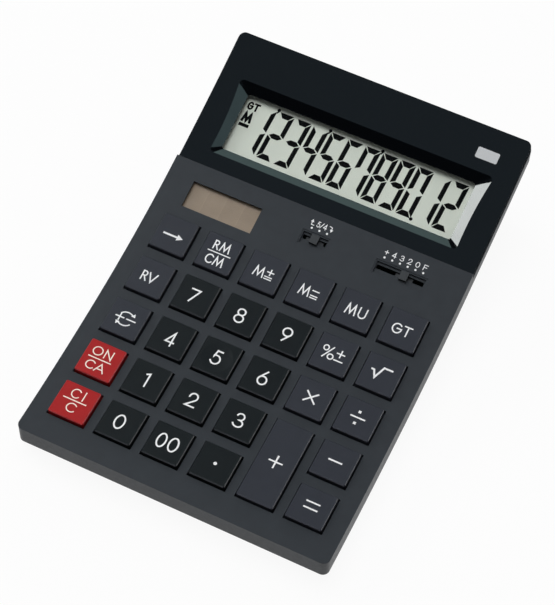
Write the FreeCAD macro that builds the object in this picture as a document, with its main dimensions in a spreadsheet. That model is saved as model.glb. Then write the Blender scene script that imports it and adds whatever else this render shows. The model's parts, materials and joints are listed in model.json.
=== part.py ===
import FreeCAD, Part
import math
import os
import Sketcher
from FreeCAD import Placement, Rotation, Vector

# Desk calculator with a concave wedge case, 29 keys, two slide switches and a fixed sloped display.
# Millimetres and degrees. +X to the right of the user, +Y away from the user, +Z up.
# Origin on the table, under the middle of the case.

doc = FreeCAD.newDocument("DeskCalculator")
sheet = doc.addObject("Spreadsheet::Sheet", "Sizes")

DRIVING_SIZES = {
    # keys
    "key_columns": 6, "key_rows": 5, "column_pitch": 18.0, "row_pitch": 18.57,
    "key_width": 13.6, "key_length": 13.7, "key_proud": 1.8, "key_travel": 1.8,
    "key_gap": 0.5, "key_corner": 0.6, "key_chamfer": 0.3, "key_wall": 1.3,
    "flange_overhang": 0.8, "flange_thick": 0.8,
    "flange_clearance": 0.2, "stem_radius": 2.4, "dish_radius": 5.6, "dish_depth": 0.3,
    # case
    "side_margin": 7.0, "front_margin": 10.05, "control_zone": 23.2, "front_height": 14.3,
    "band_height": 8.3, "case_wall": 2.0, "corner_radius": 2.5, "parting_gap": 0.15,
    "front_slope": -2.2, "middle_slope": 4.6, "seam_slope": 15.5,
    "base_inset": 1.0, "base_taper": 18.0, "back_taper": 8.0, "floor_height": 1.6, "floor_thick": 1.8,
    # display panel
    "panel_length": 54.6, "panel_start_slope": 15.1, "panel_end_slope": 20.4, "panel_step": 1.5,
    "panel_inset": 0.25, "seam_gap": 0.15, "seat_gap": 0.05, "panel_thick": 1.6,
    "window_side": 9.65, "window_front": 6.9, "window_depth": 29.1, "bevel_side": 3.6, "bevel_ends": 2.9,
    "bevel_drop": 0.9, "bevel_radius": 2.0, "bevel_radius_change": 1.0, "shelf_thick": 1.6,
    # display
    "display_tilt": 16.5, "display_board_drop": 8.0, "pane_thick": 1.0, "pane_gap": 0.25,
    "glass_margin_side": 1.6, "glass_margin_ends": 1.9, "lcd_thick": 2.2, "lcd_drop": 3.6, "lcd_ledge": 1.8,
    "reflector_thick": 0.25, "reflector_inset_side": 1.0, "reflector_inset_ends": 0.5,
    "zebra_thick": 1.5, "zebra_inset": 2.0, "frame_wall": 0.8, "frame_lip": 0.4, "frame_gap": 0.3,
    "fit_clearance": 0.15, "display_board_margin": 0.5, "display_board_reach": 17.0,
    "capacitor_radius": 2.5, "capacitor_height": 6.5, "capacitor_x": -22.0, "capacitor_y": -20.0,
    # keyboard
    "board_tilt": 3.0, "board_drop": 9.0, "board_thick": 1.2, "board_front": 7.0,
    "board_rear_margin": 2.9, "board_side": 4.7, "rubber_thick": 0.6, "rubber_margin": 1.0,
    "rubber_inset": 0.2, "rubber_gap": 0.3, "dome_left": 0.4, "dome_base_radius": 4.2, "dome_rim": 0.4,
    "chip_width": 12.0, "chip_height": 1.8, "chip_x": -18.0, "chip_line": 9.0,
    "cable_thick": 0.3, "cable_width": 24.0, "cable_landing": 4.0, "cable_lead": 0.8,
    # solar cell
    "solar_left": 10.4, "solar_width": 27.6, "solar_depth": 10.5, "solar_line": 108.9,
    "solar_recess": 0.6, "solar_rebate": 0.7, "solar_pane": 1.0, "solar_cell": 1.1, "solar_rim": 1.2,
    "solar_holder_drop": 4.2, "solar_pane_seat": 0.05, "solar_cell_seat": 0.02,
    # slide switches
    "control_line": 110.3, "rounding_x": 1.5, "decimal_x": 35.0, "detent_pitch": 3.0,
    "rounding_positions": 3, "decimal_positions": 6, "decimal_rest": 3,
    "well_depth": 1.1, "well_length": 4.7, "well_margin": 0.4, "well_step": 0.6, "well_step_depth": 0.25,
    "tab_width": 3.0, "tab_length": 3.3,
    "tab_proud": 0.25, "tab_gap": 0.15, "neck_width": 2.4, "neck_length": 1.5, "running_clearance": 0.1,
    "plate_gap": 0.12, "plate_depth": 5.4, "slider_thick": 1.0, "slider_overhang": 2.2,
    "carrier_width": 4.0, "carrier_depth": 4.0, "carrier_margin": 0.2,
    "wiper_width": 3.6, "wiper_thick": 0.2, "wiper_height": 0.9, "wiper_gap": 0.15,
    "prong_width": 0.8, "prong_length": 0.6, "prong_pitch": 1.2,
    # fasteners
    "screw_radius": 1.0, "screw_head_radius": 2.0, "screw_head": 1.3, "screw_length": 8.0,
    "screw_gap": 0.2, "shank_gap": 0.15, "thread_gap": 0.03, "head_gap": 0.3,
    "pilot_spare": 0.3, "board_pilot_spare": 0.4, "drive_depth": 0.5, "drive_length": 2.4, "drive_width": 0.5,
    "boss_radius": 2.0, "boss_gap": 0.2, "boss_edge": 3.0, "boss_room": 1.2, "post_radius": 3.0,
    "screw_seat": 1.6, "board_screw_grip": 3.5, "board_boss_radius": 1.6, "display_boss_spread": 9.0,
    "front_screw_side": 5.8, "front_screw_line": 7.0, "front_screw_face": 5.6,
    "seam_screw_side": 12.3, "seam_screw_line": 2.9, "back_screw_side": 17.8, "back_screw_line": 6.2,
    "rear_screw_face": 8.0,
    # feet and battery
    "foot_radius": 4.5, "foot_height": 2.2, "foot_gap": 0.1, "front_foot_side": 17.0,
    "front_foot_line": 13.0, "back_foot_side": 30.0, "back_foot_line": 15.0,
    "cell_radius": 5.8, "cell_height": 5.4, "cell_gap": 0.6, "cell_lift": 0.1, "cell_roof": 1.2,
    "cell_x": 14.0, "cell_back": 32.0, "contact_thick": 0.25, "contact_room": 0.35,
    "contact_width": 4.0, "contact_length": 9.0, "side_contact_thick": 0.3, "side_contact_width": 2.4,
    "side_contact_height": 4.6, "side_contact_gap": 0.03, "side_contact_lift": 0.6,
    "door_width": 18.0, "door_length": 30.0, "door_thick": 1.2, "door_gap": 0.2, "door_head": 0.6,
    "door_head_gap": 0.2, "door_screw_length": 3.4, "door_pilot_spare": 2.0, "door_drive_depth": 0.3,
    "grip_width": 0.8, "grip_length": 8.0, "grip_depth": 0.4, "grip_pitch": 2.0, "grip_offset": 6.0,
}

# How far a tool runs past the faces that it cuts, and how deep joined blocks reach into each other.
FAR = 40.0
BREAKOUT = 5.0
EMBED = 0.3
# How far inside the two ends the parting line is read, and how many spans the base is lofted over.
END_MARGIN = 0.01
BASE_SPANS = 5
# How far above its plane the window's bevel is cut, because the panel is curved.
BEVEL_RISE = 1.5
# Halvings in a search along a profile, and how far past the profile's ends the search reaches.
HALVINGS = 60
OVERRUN = 20.0
# Spans over which the deck's underside is sampled above a key, and how near a point counts as on a top.
SAMPLES = 16
ON_TOP = 0.01

for row, (alias, number) in enumerate(DRIVING_SIZES.items(), start=1):
    sheet.set(f"A{row}", alias)
    sheet.set(f"B{row}", str(number))
    sheet.setAlias(f"B{row}", alias)
doc.recompute()


class Size:
    """A length that carries its value together with the spreadsheet expression that gives it."""

    def __init__(self, value, text):
        self.value = float(value)
        self.text = text

    def combine(self, other, sign, flipped=False):
        other = other if isinstance(other, Size) else Size(other, repr(float(other)))
        first, second = (other, self) if flipped else (self, other)
        results = {"+": first.value + second.value, "-": first.value - second.value,
                   "*": first.value * second.value}
        return Size(results[sign], f"({first.text} {sign} {second.text})")

    def __add__(self, other):
        return self.combine(other, "+")

    def __radd__(self, other):
        return self.combine(other, "+", flipped=True)

    def __sub__(self, other):
        return self.combine(other, "-")

    def __rsub__(self, other):
        return self.combine(other, "-", flipped=True)

    def __mul__(self, other):
        return self.combine(other, "*")

    def __rmul__(self, other):
        return self.combine(other, "*", flipped=True)


def size(alias):
    """The spreadsheet cell with this alias, as a Size."""
    return Size(getattr(sheet, alias), f"Sizes.{alias}")


def plain(number):
    """The bare number of a Size or a number."""
    return number.value if isinstance(number, Size) else float(number)


# ---------------------------------------------------------------- driving values and what follows from them

columns = int(sheet.key_columns)
rows = int(sheet.key_rows)
case_width = ((columns - 1) * size("column_pitch") + size("key_width") + 2 * size("side_margin"))
half_width = case_width.value / 2
key_field = (rows - 1) * sheet.row_pitch + sheet.key_length
deck_length = sheet.front_margin + key_field + sheet.control_zone
wall = sheet.case_wall


class Profile:
    """Tangent arcs in the side view, each given by its length and its slopes at the two ends."""

    def __init__(self, start, arcs):
        self.pieces = []
        y, z = start
        travelled = 0.0
        for length, slope_in, slope_out in arcs:
            first = math.radians(slope_in)
            curvature = (math.radians(slope_out) - first) / length
            self.pieces.append((travelled, length, y, z, first, curvature))
            last = first + curvature * length
            y += (math.sin(last) - math.sin(first)) / curvature
            z -= (math.cos(last) - math.cos(first)) / curvature
            travelled += length
        self.length = travelled
        self.end = (y, z)

    def piece(self, distance):
        inside = [piece for piece in self.pieces if piece[0] <= distance]
        return inside[-1] if inside else self.pieces[0]

    def slope(self, distance):
        """The slope in degrees at a distance along the profile."""
        begin, _, _, _, first, curvature = self.piece(distance)
        return math.degrees(first + curvature * (distance - begin))

    def point(self, distance, height=0.0):
        """The point at a distance along the profile, raised by height along the local normal."""
        begin, _, y, z, first, curvature = self.piece(distance)
        angle = first + curvature * (distance - begin)
        along = y + (math.sin(angle) - math.sin(first)) / curvature - math.sin(angle) * height
        up = z - (math.cos(angle) - math.cos(first)) / curvature + math.cos(angle) * height
        return Vector(0, along, up)

    def distance_at(self, along, height=0.0):
        """The distance at which the line offset by height reaches a place along Y."""
        low, high = -OVERRUN, self.length + OVERRUN
        for _ in range(HALVINGS):
            middle = (low + high) / 2
            low, high = (middle, high) if self.point(middle, height).y < along else (low, middle)
        return low

    def edges(self, begin, finish, height=0.0):
        """The arcs from begin to finish, offset by height along the normal."""
        joints = [piece[0] for piece in self.pieces if begin < piece[0] < finish]
        stops = [begin] + joints + [finish]
        made = []
        for first, last in zip(stops, stops[1:]):
            ends = (first + 1e-9, (first + last) / 2, last - 1e-9)
            made.append(Part.Arc(*[self.point(stop, height) for stop in ends]).toShape())
        return made


def case_profiles(front_y):
    """The deck's and the display panel's top lines, for a case whose front edge is at front_y."""
    deck_line = Profile((front_y, sheet.front_height),
                        [(deck_length / 2, sheet.front_slope, sheet.middle_slope),
                         (deck_length / 2, sheet.middle_slope, sheet.seam_slope)])
    seam_y, seam_z = deck_line.end
    panel_line = Profile((seam_y, seam_z - sheet.panel_step),
                         [(sheet.panel_length, sheet.panel_start_slope, sheet.panel_end_slope)])
    return deck_line, panel_line


case_length = case_profiles(0.0)[1].end[0]
front = -case_length / 2
back = case_length / 2
deck, panel = case_profiles(front)
display_band = sheet.band_height - sheet.panel_step


def frame(origin, tilt):
    """A frame at a point of the side view, its Z axis tipped towards the user by tilt degrees."""
    return Placement(origin, Rotation(Vector(1, 0, 0), tilt))


board_frame = frame(deck.point(0) + Rotation(Vector(1, 0, 0), sheet.board_tilt)
                    .multVec(Vector(0, 0, -sheet.board_drop)), sheet.board_tilt)
window_middle = sheet.window_front + sheet.window_depth / 2
display_frame = frame(panel.point(window_middle), sheet.display_tilt)
control_frame = frame(deck.point(sheet.control_line), deck.slope(sheet.control_line))
solar_frame = frame(deck.point(sheet.solar_line), deck.slope(sheet.solar_line))


def height_over_board(along, drop=0.0):
    """Height of the deck, or of a face drop below it, over the board at a place along it, and its slope."""
    low, high = 0.0, deck.length
    for _ in range(HALVINGS):
        middle = (low + high) / 2
        reached = board_frame.inverse().multVec(deck.point(middle, -drop)).y
        low, high = (middle, high) if reached < along else (low, middle)
    return board_frame.inverse().multVec(deck.point(low, -drop)).z, deck.slope(low)


# ---------------------------------------------------------------- building blocks

nodes = {}


def node(label, thing):
    """Registers a finished sub-part under the name of its file."""
    thing.Label = label
    nodes[label] = thing
    return thing


def bind(thing, **sizes):
    """Sets properties, each bound to the spreadsheet where it comes from there."""
    for name, length in sizes.items():
        if isinstance(length, Size):
            thing.setExpression(name, length.text)
        setattr(thing, name, plain(length))


def block(place, width, depth, height, x=0.0, y=0.0, z=0.0):
    """A box in a frame, centred on x and y and standing on z."""
    made = doc.addObject("Part::Box", "Block")
    bind(made, Length=width, Width=depth, Height=height)
    corner = Vector(plain(x) - plain(width) / 2, plain(y) - plain(depth) / 2, plain(z))
    made.Placement = place * Placement(corner, Rotation())
    return made


def rod(place, radius, height, x=0.0, y=0.0, z=0.0):
    """A cylinder in a frame, standing on z."""
    made = doc.addObject("Part::Cylinder", "Rod")
    bind(made, Radius=radius, Height=height)
    made.Placement = place * Placement(Vector(plain(x), plain(y), plain(z)), Rotation())
    return made


def cone(place, base, top, height, x, y, z):
    """A truncated cone in a frame, standing on z."""
    made = doc.addObject("Part::Cone", "Cone")
    bind(made, Radius1=base, Radius2=top, Height=height)
    made.Placement = place * Placement(Vector(plain(x), plain(y), plain(z)), Rotation())
    return made


def fuse(*things):
    made = doc.addObject("Part::MultiFuse", "Joined")
    made.Shapes = list(things)
    return made


def cut(base, *tools):
    made = doc.addObject("Part::Cut", "Trimmed")
    made.Base = base
    made.Tool = tools[0] if len(tools) == 1 else fuse(*tools)
    return made


def common(base, tool):
    made = doc.addObject("Part::Common", "Shared")
    made.Base = base
    made.Tool = tool
    return made


def group(*things):
    """Separate solids of one kind, kept as one node."""
    made = doc.addObject("Part::Compound", "Set")
    made.Links = list(things)
    return made


def feature(shape, name="Shell"):
    made = doc.addObject("Part::Feature", name)
    made.Shape = shape
    return made


def line(first, last):
    return Part.LineSegment(first, last).toShape()


def prism(edges, low_x, high_x):
    """The side-view outline made of these edges, carried from low_x to high_x."""
    face = Part.Face(Part.Wire(edges))
    face.translate(Vector(low_x, 0, 0))
    return face.extrude(Vector(high_x - low_x, 0, 0))


def polygon_prism(points, low_x, high_x):
    """A prism on a side-view polygon of (y, z) points."""
    corners = [Vector(0, y, z) for y, z in points]
    return prism([line(a, b) for a, b in zip(corners, corners[1:] + corners[:1])], low_x, high_x)


def ring_of(edges):
    """Closes a chain of edges with straight lines where their ends don't meet."""
    closed = []
    for edge, following in zip(edges, edges[1:] + edges[:1]):
        closed.append(edge)
        leave = edge.Vertexes[-1].Point
        enter = following.Vertexes[0].Point
        if leave.distanceToPoint(enter) > 1e-7:
            closed.append(line(leave, enter))
    return closed


def upright_edges(shape, corners, reach=0.6):
    """Edges that run up within reach of the given (x, y) corners of a shape."""
    found = []
    for edge in shape.Edges:
        ends = [vertex.Point for vertex in edge.Vertexes]
        near = all(any(math.hypot(p.x - x, p.y - y) < reach for x, y in corners) for p in ends)
        if near and abs(ends[0].z - ends[-1].z) > reach:
            found.append(edge)
    return found


# ---------------------------------------------------------------- upper housing

def parting_edges(lower=0.0):
    """The line under the side band, from the front edge to the back edge, lowered by a gap."""
    drop = -sheet.band_height - lower
    under_deck = deck.edges(deck.distance_at(front, drop), deck.length, drop)
    start = under_deck[-1].Vertexes[-1].Point
    under_panel = panel.distance_at(back, -display_band - lower)
    finish = panel.point(under_panel, -display_band - lower)
    middle = panel.point(under_panel / 2, -display_band - lower)
    return under_deck + [Part.Arc(start, middle, finish).toShape()]


def parting_height(along):
    """Height of the parting line at a place along Y."""
    for edge in parting_edges():
        ends = [vertex.Point.y for vertex in edge.Vertexes]
        if min(ends) - 1e-6 <= along <= max(ends) + 1e-6:
            probe = line(Vector(0, along, -FAR), Vector(0, along, 2 * FAR))
            return edge.distToShape(probe)[1][0][0].z
    return parting_edges()[0].Vertexes[0].Point.z


def reversed_edges(edges):
    turned = []
    for edge in reversed(edges):
        middle = edge.valueAt((edge.FirstParameter + edge.LastParameter) / 2)
        turned.append(Part.Arc(edge.Vertexes[-1].Point, middle, edge.Vertexes[0].Point).toShape())
    return turned


def housing_blank():
    """The upper housing without its openings: a curved deck, a lower shelf behind it and side walls."""
    shelf_top = -sheet.panel_thick
    top = deck.edges(0, deck.length) + panel.edges(panel.distance_at(deck.end[0], shelf_top),
                                                   panel.distance_at(back, shelf_top), shelf_top)
    under = reversed_edges(parting_edges())
    outline = ring_of(top + under)
    outer = prism(outline, -half_width, half_width)
    corners = [(side * half_width, y) for side in (-1, 1) for y in (front, back)]
    outer = outer.makeFillet(sheet.corner_radius, upright_edges(outer, corners))
    inner_top = deck.edges(deck.distance_at(front + wall, -wall), deck.length - wall, -wall)
    shelf_under = shelf_top - sheet.shelf_thick
    inner_shelf = panel.edges(0, panel.distance_at(back - wall, shelf_under), shelf_under)
    low = sheet.floor_height - 2 * BREAKOUT
    walls = [line(Vector(0, back - wall, low), Vector(0, front + wall, low))]
    cavity = prism(ring_of(inner_top + inner_shelf + walls), -half_width + wall, half_width - wall)
    return outer, cavity


outer_shape, cavity_shape = housing_blank()
key_middle_u = sheet.front_margin + sheet.key_length / 2
row_places = [key_middle_u + row * sheet.row_pitch for row in range(rows)]
column_places = [(column - (columns - 1) / 2) * sheet.column_pitch for column in range(columns)]

# Keys by row from the front and column from the left; the tall key spans the two front rows.
KEY_NAMES = [
    ["clear_entry", "zero", "double_zero", "decimal_point", None, "equals"],
    ["on_clear_all", "one", "two", "three", None, "minus"],
    ["sign_change", "four", "five", "six", "multiply", "divide"],
    ["reverse", "seven", "eight", "nine", "percent", "square_root"],
    ["backspace", "memory_recall", "memory_plus_minus", "memory_total", "mark_up", "grand_total"],
]
TALL_KEY = "plus"
TALL_COLUMN = 4
DISHED_KEY = "five"


def key_places():
    """Every key as (name, x, place along the board, rows spanned)."""
    listed = []
    for row, names in enumerate(KEY_NAMES):
        for column, name in enumerate(names):
            if name:
                listed.append((name, column_places[column], row_places[row], 1))
    listed.append((TALL_KEY, column_places[TALL_COLUMN], (row_places[0] + row_places[1]) / 2, 2))
    return listed


def key_depth(spanned):
    return size("key_length") + (spanned - 1) * size("row_pitch")


def board_boss_places():
    """Screw places between the keys, in the board's frame, clear of the tall key."""
    across = [-2 * sheet.column_pitch, 0.0, 2 * sheet.column_pitch]
    along = [(row_places[1] + row_places[2]) / 2, (row_places[3] + row_places[4]) / 2]
    return [(x, u) for u in along for x in across]


def display_boss_places():
    """Screw places beside the display, in the display's frame."""
    x = display_half_width() + sheet.frame_wall + sheet.fit_clearance + sheet.boss_radius + sheet.boss_gap
    spread = sheet.display_boss_spread
    return [(side * x, v) for side in (-1, 1) for v in (-spread, spread)]


def display_half_width():
    """Half the width of the display glass."""
    return half_width - sheet.window_side - sheet.bevel_side + sheet.glass_margin_side


def display_half_depth():
    """Half the depth of the display glass."""
    return sheet.window_depth / 2 - sheet.bevel_ends + sheet.glass_margin_ends


def case_screw_places():
    """Case screws as (x, y, height of the mating face), all upright."""
    near = deck.point(deck.length - sheet.seam_screw_line).y
    far = panel.point(window_middle + display_half_depth() + sheet.back_screw_line).y
    places = ((half_width - sheet.front_screw_side, front + sheet.front_screw_line, sheet.front_screw_face),
              (half_width - sheet.seam_screw_side, near, sheet.rear_screw_face),
              (half_width - sheet.back_screw_side, far, sheet.rear_screw_face))
    return [(side * x, y, z) for side in (-1, 1) for x, y, z in places]


GLOBAL = Placement()
outer_case = feature(outer_shape, "CaseOutside")
cavity = feature(cavity_shape, "CaseInside")

bosses = []
pilots = []
pilot_radius = size("screw_radius") + size("thread_gap")
board_pilot = size("board_screw_grip") + size("board_pilot_spare")
for x, y, z in case_screw_places():
    bosses.append(rod(GLOBAL, size("boss_radius"), size("front_height") + FAR, x, y, z))
    pilots.append(rod(GLOBAL, pilot_radius, size("screw_length"), x, y,
                      z - sheet.screw_seat + sheet.pilot_spare))
for x, u in board_boss_places():
    bosses.append(rod(board_frame, size("board_boss_radius"), height_over_board(u)[0] - wall / 2, x, u, 0))
    pilots.append(rod(board_frame, pilot_radius, board_pilot, x, u, 0))
for x, v in display_boss_places():
    bosses.append(rod(display_frame, size("boss_radius"), size("display_board_drop") - size("panel_thick"),
                      x, v, -sheet.display_board_drop))
    pilots.append(rod(display_frame, pilot_radius, board_pilot, x, v, -sheet.display_board_drop))

solar_middle = -half_width + sheet.solar_left + sheet.solar_width / 2
solar_pocket = [size(side) + 2 * size("solar_rebate") for side in ("solar_width", "solar_depth")]
solar_holder = [length + 2 * size("solar_rim") for length in solar_pocket]
bosses.append(block(solar_frame, *solar_holder, size("solar_holder_drop") - wall / 2, solar_middle, 0,
                    -sheet.solar_holder_drop))

hollow = cut(cavity, *bosses)
shell = cut(outer_case, hollow)

openings = list(pilots)
for name, x, u, spanned in key_places():
    openings.append(block(board_frame, size("key_width") + 2 * size("key_gap"),
                          key_depth(spanned) + 2 * size("key_gap"), FAR, x, u, sheet.rubber_thick))
openings.append(block(solar_frame, size("solar_width"), size("solar_depth"), 2 * BREAKOUT, solar_middle, 0,
                      -BREAKOUT))
openings.append(block(solar_frame, *solar_pocket, size("solar_holder_drop"), solar_middle, 0,
                      -sheet.solar_holder_drop - sheet.solar_recess))


def switch_places():
    """The two slide switches as (name, x, positions, rest position)."""
    rounding = int(sheet.rounding_positions)
    decimal = int(sheet.decimal_positions)
    return [("rounding", sheet.rounding_x, rounding, (rounding - 1) / 2),
            ("decimal", sheet.decimal_x, decimal, int(sheet.decimal_rest))]


tab_line = (sheet.well_length - sheet.tab_length) / 2 - sheet.tab_gap
for name, x, positions, rest in switch_places():
    travel = (positions - 1) * size("detent_pitch")
    well_width = travel + size("tab_width") + 2 * size("well_margin")
    openings.append(block(control_frame, well_width, size("well_length"), BREAKOUT, x, 0, -sheet.well_depth))
    openings.append(block(control_frame, well_width + 2 * size("well_step"),
                          size("well_length") + 2 * size("well_step"), BREAKOUT, x, 0,
                          -sheet.well_step_depth))
    openings.append(block(control_frame, travel + size("neck_width") + 2 * size("well_margin"),
                          size("neck_length") + 2 * size("running_clearance"), 2 * BREAKOUT, x,
                          tab_line, -BREAKOUT))
frame_room = 2 * (size("frame_wall") + size("frame_gap"))
openings.append(block(display_frame, 2 * display_half_width() + frame_room,
                      2 * display_half_depth() + frame_room, 4 * BREAKOUT, 0, 0, -2 * BREAKOUT))
node("upper_housing", cut(shell, *openings))


# ---------------------------------------------------------------- lower housing

def base_section(along, inset, bottom):
    """A section of the tapered base across the case: wide at the parting line, narrower at the floor."""
    over = BREAKOUT
    top = parting_height(min(max(along, front + END_MARGIN), back - END_MARGIN))
    slant = math.tan(math.radians(sheet.base_taper))
    upper = half_width - sheet.base_inset - inset + over * slant
    lower = half_width - sheet.base_inset - inset - (top - bottom) * slant
    corners = [Vector(-lower, along, bottom), Vector(lower, along, bottom),
               Vector(upper, along, top + over), Vector(-upper, along, top + over)]
    return Part.makePolygon(corners + corners[:1])


def base_solid(inset, bottom, lid):
    """The tapered base: its sides follow the curved parting line, its ends slope in to the floor."""
    stations = [front + case_length * share / BASE_SPANS for share in range(BASE_SPANS + 1)]
    sides = Part.makeLoft([base_section(y, inset, bottom) for y in stations], True, False)
    lean_front = math.tan(math.radians(sheet.base_taper))
    lean_back = math.tan(math.radians(sheet.back_taper))
    near_top = parting_height(front + END_MARGIN)
    far_top = parting_height(back - END_MARGIN)
    near = front + sheet.base_inset + inset
    far = back - sheet.base_inset - inset
    over = BREAKOUT
    ends = polygon_prism([(near + (near_top - bottom) * lean_front, bottom),
                          (far - (far_top - bottom) * lean_back, bottom),
                          (far + over * lean_back, far_top + over),
                          (near - over * lean_front, near_top + over)],
                         -half_width - BREAKOUT, half_width + BREAKOUT)
    body = sides.common(ends)
    if lid:
        below = parting_edges(sheet.parting_gap)
        reach = FAR
        begin = below[0].Vertexes[0].Point
        end = below[-1].Vertexes[-1].Point
        rim = [line(end, Vector(0, back + reach, end.z)),
               line(Vector(0, back + reach, end.z), Vector(0, back + reach, -reach)),
               line(Vector(0, back + reach, -reach), Vector(0, front - reach, -reach)),
               line(Vector(0, front - reach, -reach), Vector(0, front - reach, begin.z)),
               line(Vector(0, front - reach, begin.z), begin)]
        body = body.common(prism(below + rim, -half_width - BREAKOUT, half_width + BREAKOUT))
    return body


floor_top = sheet.floor_height + sheet.floor_thick
slanted_wall = wall / math.cos(math.radians(sheet.base_taper))
base_outside = feature(base_solid(0.0, sheet.floor_height, True), "BaseOutside")
base_inside = feature(base_solid(slanted_wall, floor_top, False), "BaseInside")

cell_y = back - sheet.cell_back
door_middle = sheet.cell_x + (sheet.door_length - sheet.door_width) / 2
door_screw_x = sheet.cell_x + sheet.door_length - sheet.door_width
cell_bottom = sheet.floor_height + sheet.door_thick + sheet.cell_lift
cell_top = cell_bottom + sheet.cell_height
cell_ceiling = cell_top + sheet.contact_thick + sheet.contact_room
door_seat = sheet.floor_height + sheet.door_head
posts = [rod(GLOBAL, size("post_radius"), z - sheet.floor_height, x, y, sheet.floor_height)
         for x, y, z in case_screw_places()]
posts.append(block(GLOBAL, size("door_length"), size("door_width"),
                   cell_ceiling + sheet.cell_roof - sheet.floor_height, door_middle, cell_y,
                   sheet.floor_height))
foot_places = [(side * x, y) for side in (-1, 1)
               for x, y in ((half_width - sheet.front_foot_side, front + sheet.front_foot_line),
                           (half_width - sheet.back_foot_side, back - sheet.back_foot_line))]

wells = []
for x, y, z in case_screw_places():
    seat = z - sheet.screw_seat
    wells.append(rod(GLOBAL, size("screw_head_radius") + size("head_gap"),
                     seat - sheet.floor_height + BREAKOUT, x, y, sheet.floor_height - BREAKOUT))
    wells.append(rod(GLOBAL, size("screw_radius") + size("shank_gap"), 2 * BREAKOUT, x, y, seat - BREAKOUT))
for x, y in foot_places:
    wells.append(rod(GLOBAL, size("foot_radius") + size("foot_gap"), size("foot_height"), x, y, 0))
door_room = [size(side) + 2 * size("door_gap") for side in ("door_length", "door_width")]
wells.append(block(GLOBAL, *door_room, size("door_thick") + BREAKOUT, door_middle, cell_y,
                   sheet.floor_height - BREAKOUT))
wells.append(rod(GLOBAL, size("cell_radius") + size("cell_gap"), cell_ceiling - sheet.floor_height,
                 sheet.cell_x, cell_y, sheet.floor_height))
wells.append(rod(GLOBAL, pilot_radius, size("door_screw_length") + size("door_pilot_spare"), door_screw_x,
                 cell_y, door_seat))
base_core = cut(base_inside, *posts)
posts_outside = common(base_outside, fuse(base_outside, *posts))
node("lower_housing", cut(cut(posts_outside, base_core), *wells))


# ---------------------------------------------------------------- display panel and what shows through it

def window_outline(half_x, half_v, radius, height):
    """A rounded rectangle in the display's frame."""
    corners = [(half_x, half_v), (-half_x, half_v), (-half_x, -half_v), (half_x, -half_v)]
    edges = []
    for number, (x, v) in enumerate(corners):
        toward_x = -radius if x > 0 else radius
        toward_v = -radius if v > 0 else radius
        turns_first = number % 2 == 0
        first = (x, v + toward_v) if turns_first else (x + toward_x, v)
        last = (x + toward_x, v) if turns_first else (x, v + toward_v)
        share = 1 - math.sqrt(0.5)
        middle = (x + toward_x * share, v + toward_v * share)
        edges.append(Part.Arc(*[Vector(px, pv, height) for px, pv in (first, middle, last)]).toShape())
    return Part.Wire(ring_of(edges))


def panel_solid():
    """The glossy panel: a curved plate with a bevelled window."""
    under = sheet.seat_gap - sheet.panel_thick
    near = deck.end[0] + sheet.seam_gap
    top = panel.edges(panel.distance_at(near), panel.length)
    bottom = reversed_edges(panel.edges(panel.distance_at(near, under),
                                        panel.distance_at(back, under), under))
    reach = half_width - sheet.panel_inset
    plate = prism(ring_of(top + bottom), -reach, reach)
    plate = plate.makeFillet(sheet.corner_radius, upright_edges(plate, [(-reach, back), (reach, back)]))
    half_x = half_width - sheet.window_side
    half_v = sheet.window_depth / 2
    inner_x = half_x - sheet.bevel_side
    inner_v = half_v - sheet.bevel_ends
    rise = BEVEL_RISE
    growth = rise / sheet.bevel_drop
    inner_radius = sheet.bevel_radius - sheet.bevel_radius_change
    wide = window_outline(half_x + sheet.bevel_side * growth, half_v + sheet.bevel_ends * growth,
                          sheet.bevel_radius + sheet.bevel_radius_change, rise)
    narrow = window_outline(inner_x, inner_v, inner_radius, -sheet.bevel_drop)
    bevel = Part.makeLoft([narrow, wide], True, True)
    bottom_outline = window_outline(inner_x, inner_v, inner_radius, -BREAKOUT)
    hole = Part.Face(bottom_outline).extrude(Vector(0, 0, BREAKOUT))
    tool = bevel.fuse(hole)
    tool.Placement = display_frame
    return plate.cut(tool)


node("display_panel", feature(panel_solid(), "PanelPlate"))
glass_width = 2 * display_half_width()
glass_depth = 2 * display_half_depth()
node("display_window", block(display_frame, glass_width, glass_depth, size("pane_thick"), 0, 0,
                             -sheet.panel_thick - sheet.pane_gap - sheet.pane_thick))
lcd_bottom = -sheet.lcd_drop - sheet.lcd_thick
half_glass = size("lcd_thick") * 0.5
front_glass = block(display_frame, glass_width, glass_depth, half_glass, 0, 0,
                    lcd_bottom + sheet.lcd_thick / 2)
back_glass = block(display_frame, glass_width, glass_depth - 2 * size("lcd_ledge"), half_glass, 0, 0,
                   lcd_bottom)
node("lcd_glass", fuse(front_glass, back_glass))
node("lcd_reflector", block(display_frame, glass_width - 2 * size("reflector_inset_side"),
                            glass_depth - 2 * size("lcd_ledge") - 2 * size("reflector_inset_ends"),
                            size("reflector_thick"), 0, 0, lcd_bottom - sheet.reflector_thick))
zebra_height = sheet.display_board_drop - sheet.lcd_drop - sheet.lcd_thick / 2
zebra_line = display_half_depth() - sheet.zebra_thick / 2
zebra_width = glass_width - 2 * size("zebra_inset")
node("zebra_strips", group(*[block(display_frame, zebra_width, size("zebra_thick"), zebra_height, 0,
                                   side * zebra_line, -sheet.display_board_drop) for side in (-1, 1)]))
frame_height = size("display_board_drop") - size("lcd_drop") + size("frame_lip")
lcd_ring = block(display_frame, glass_width + 2 * size("frame_wall"), glass_depth + 2 * size("frame_wall"),
                 frame_height, 0, 0, -sheet.display_board_drop)
lcd_room = block(display_frame, glass_width + size("fit_clearance"), glass_depth + size("fit_clearance"),
                 frame_height + 2 * BREAKOUT, 0, 0, -sheet.display_board_drop - BREAKOUT)
node("lcd_frame", cut(lcd_ring, lcd_room))

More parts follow.
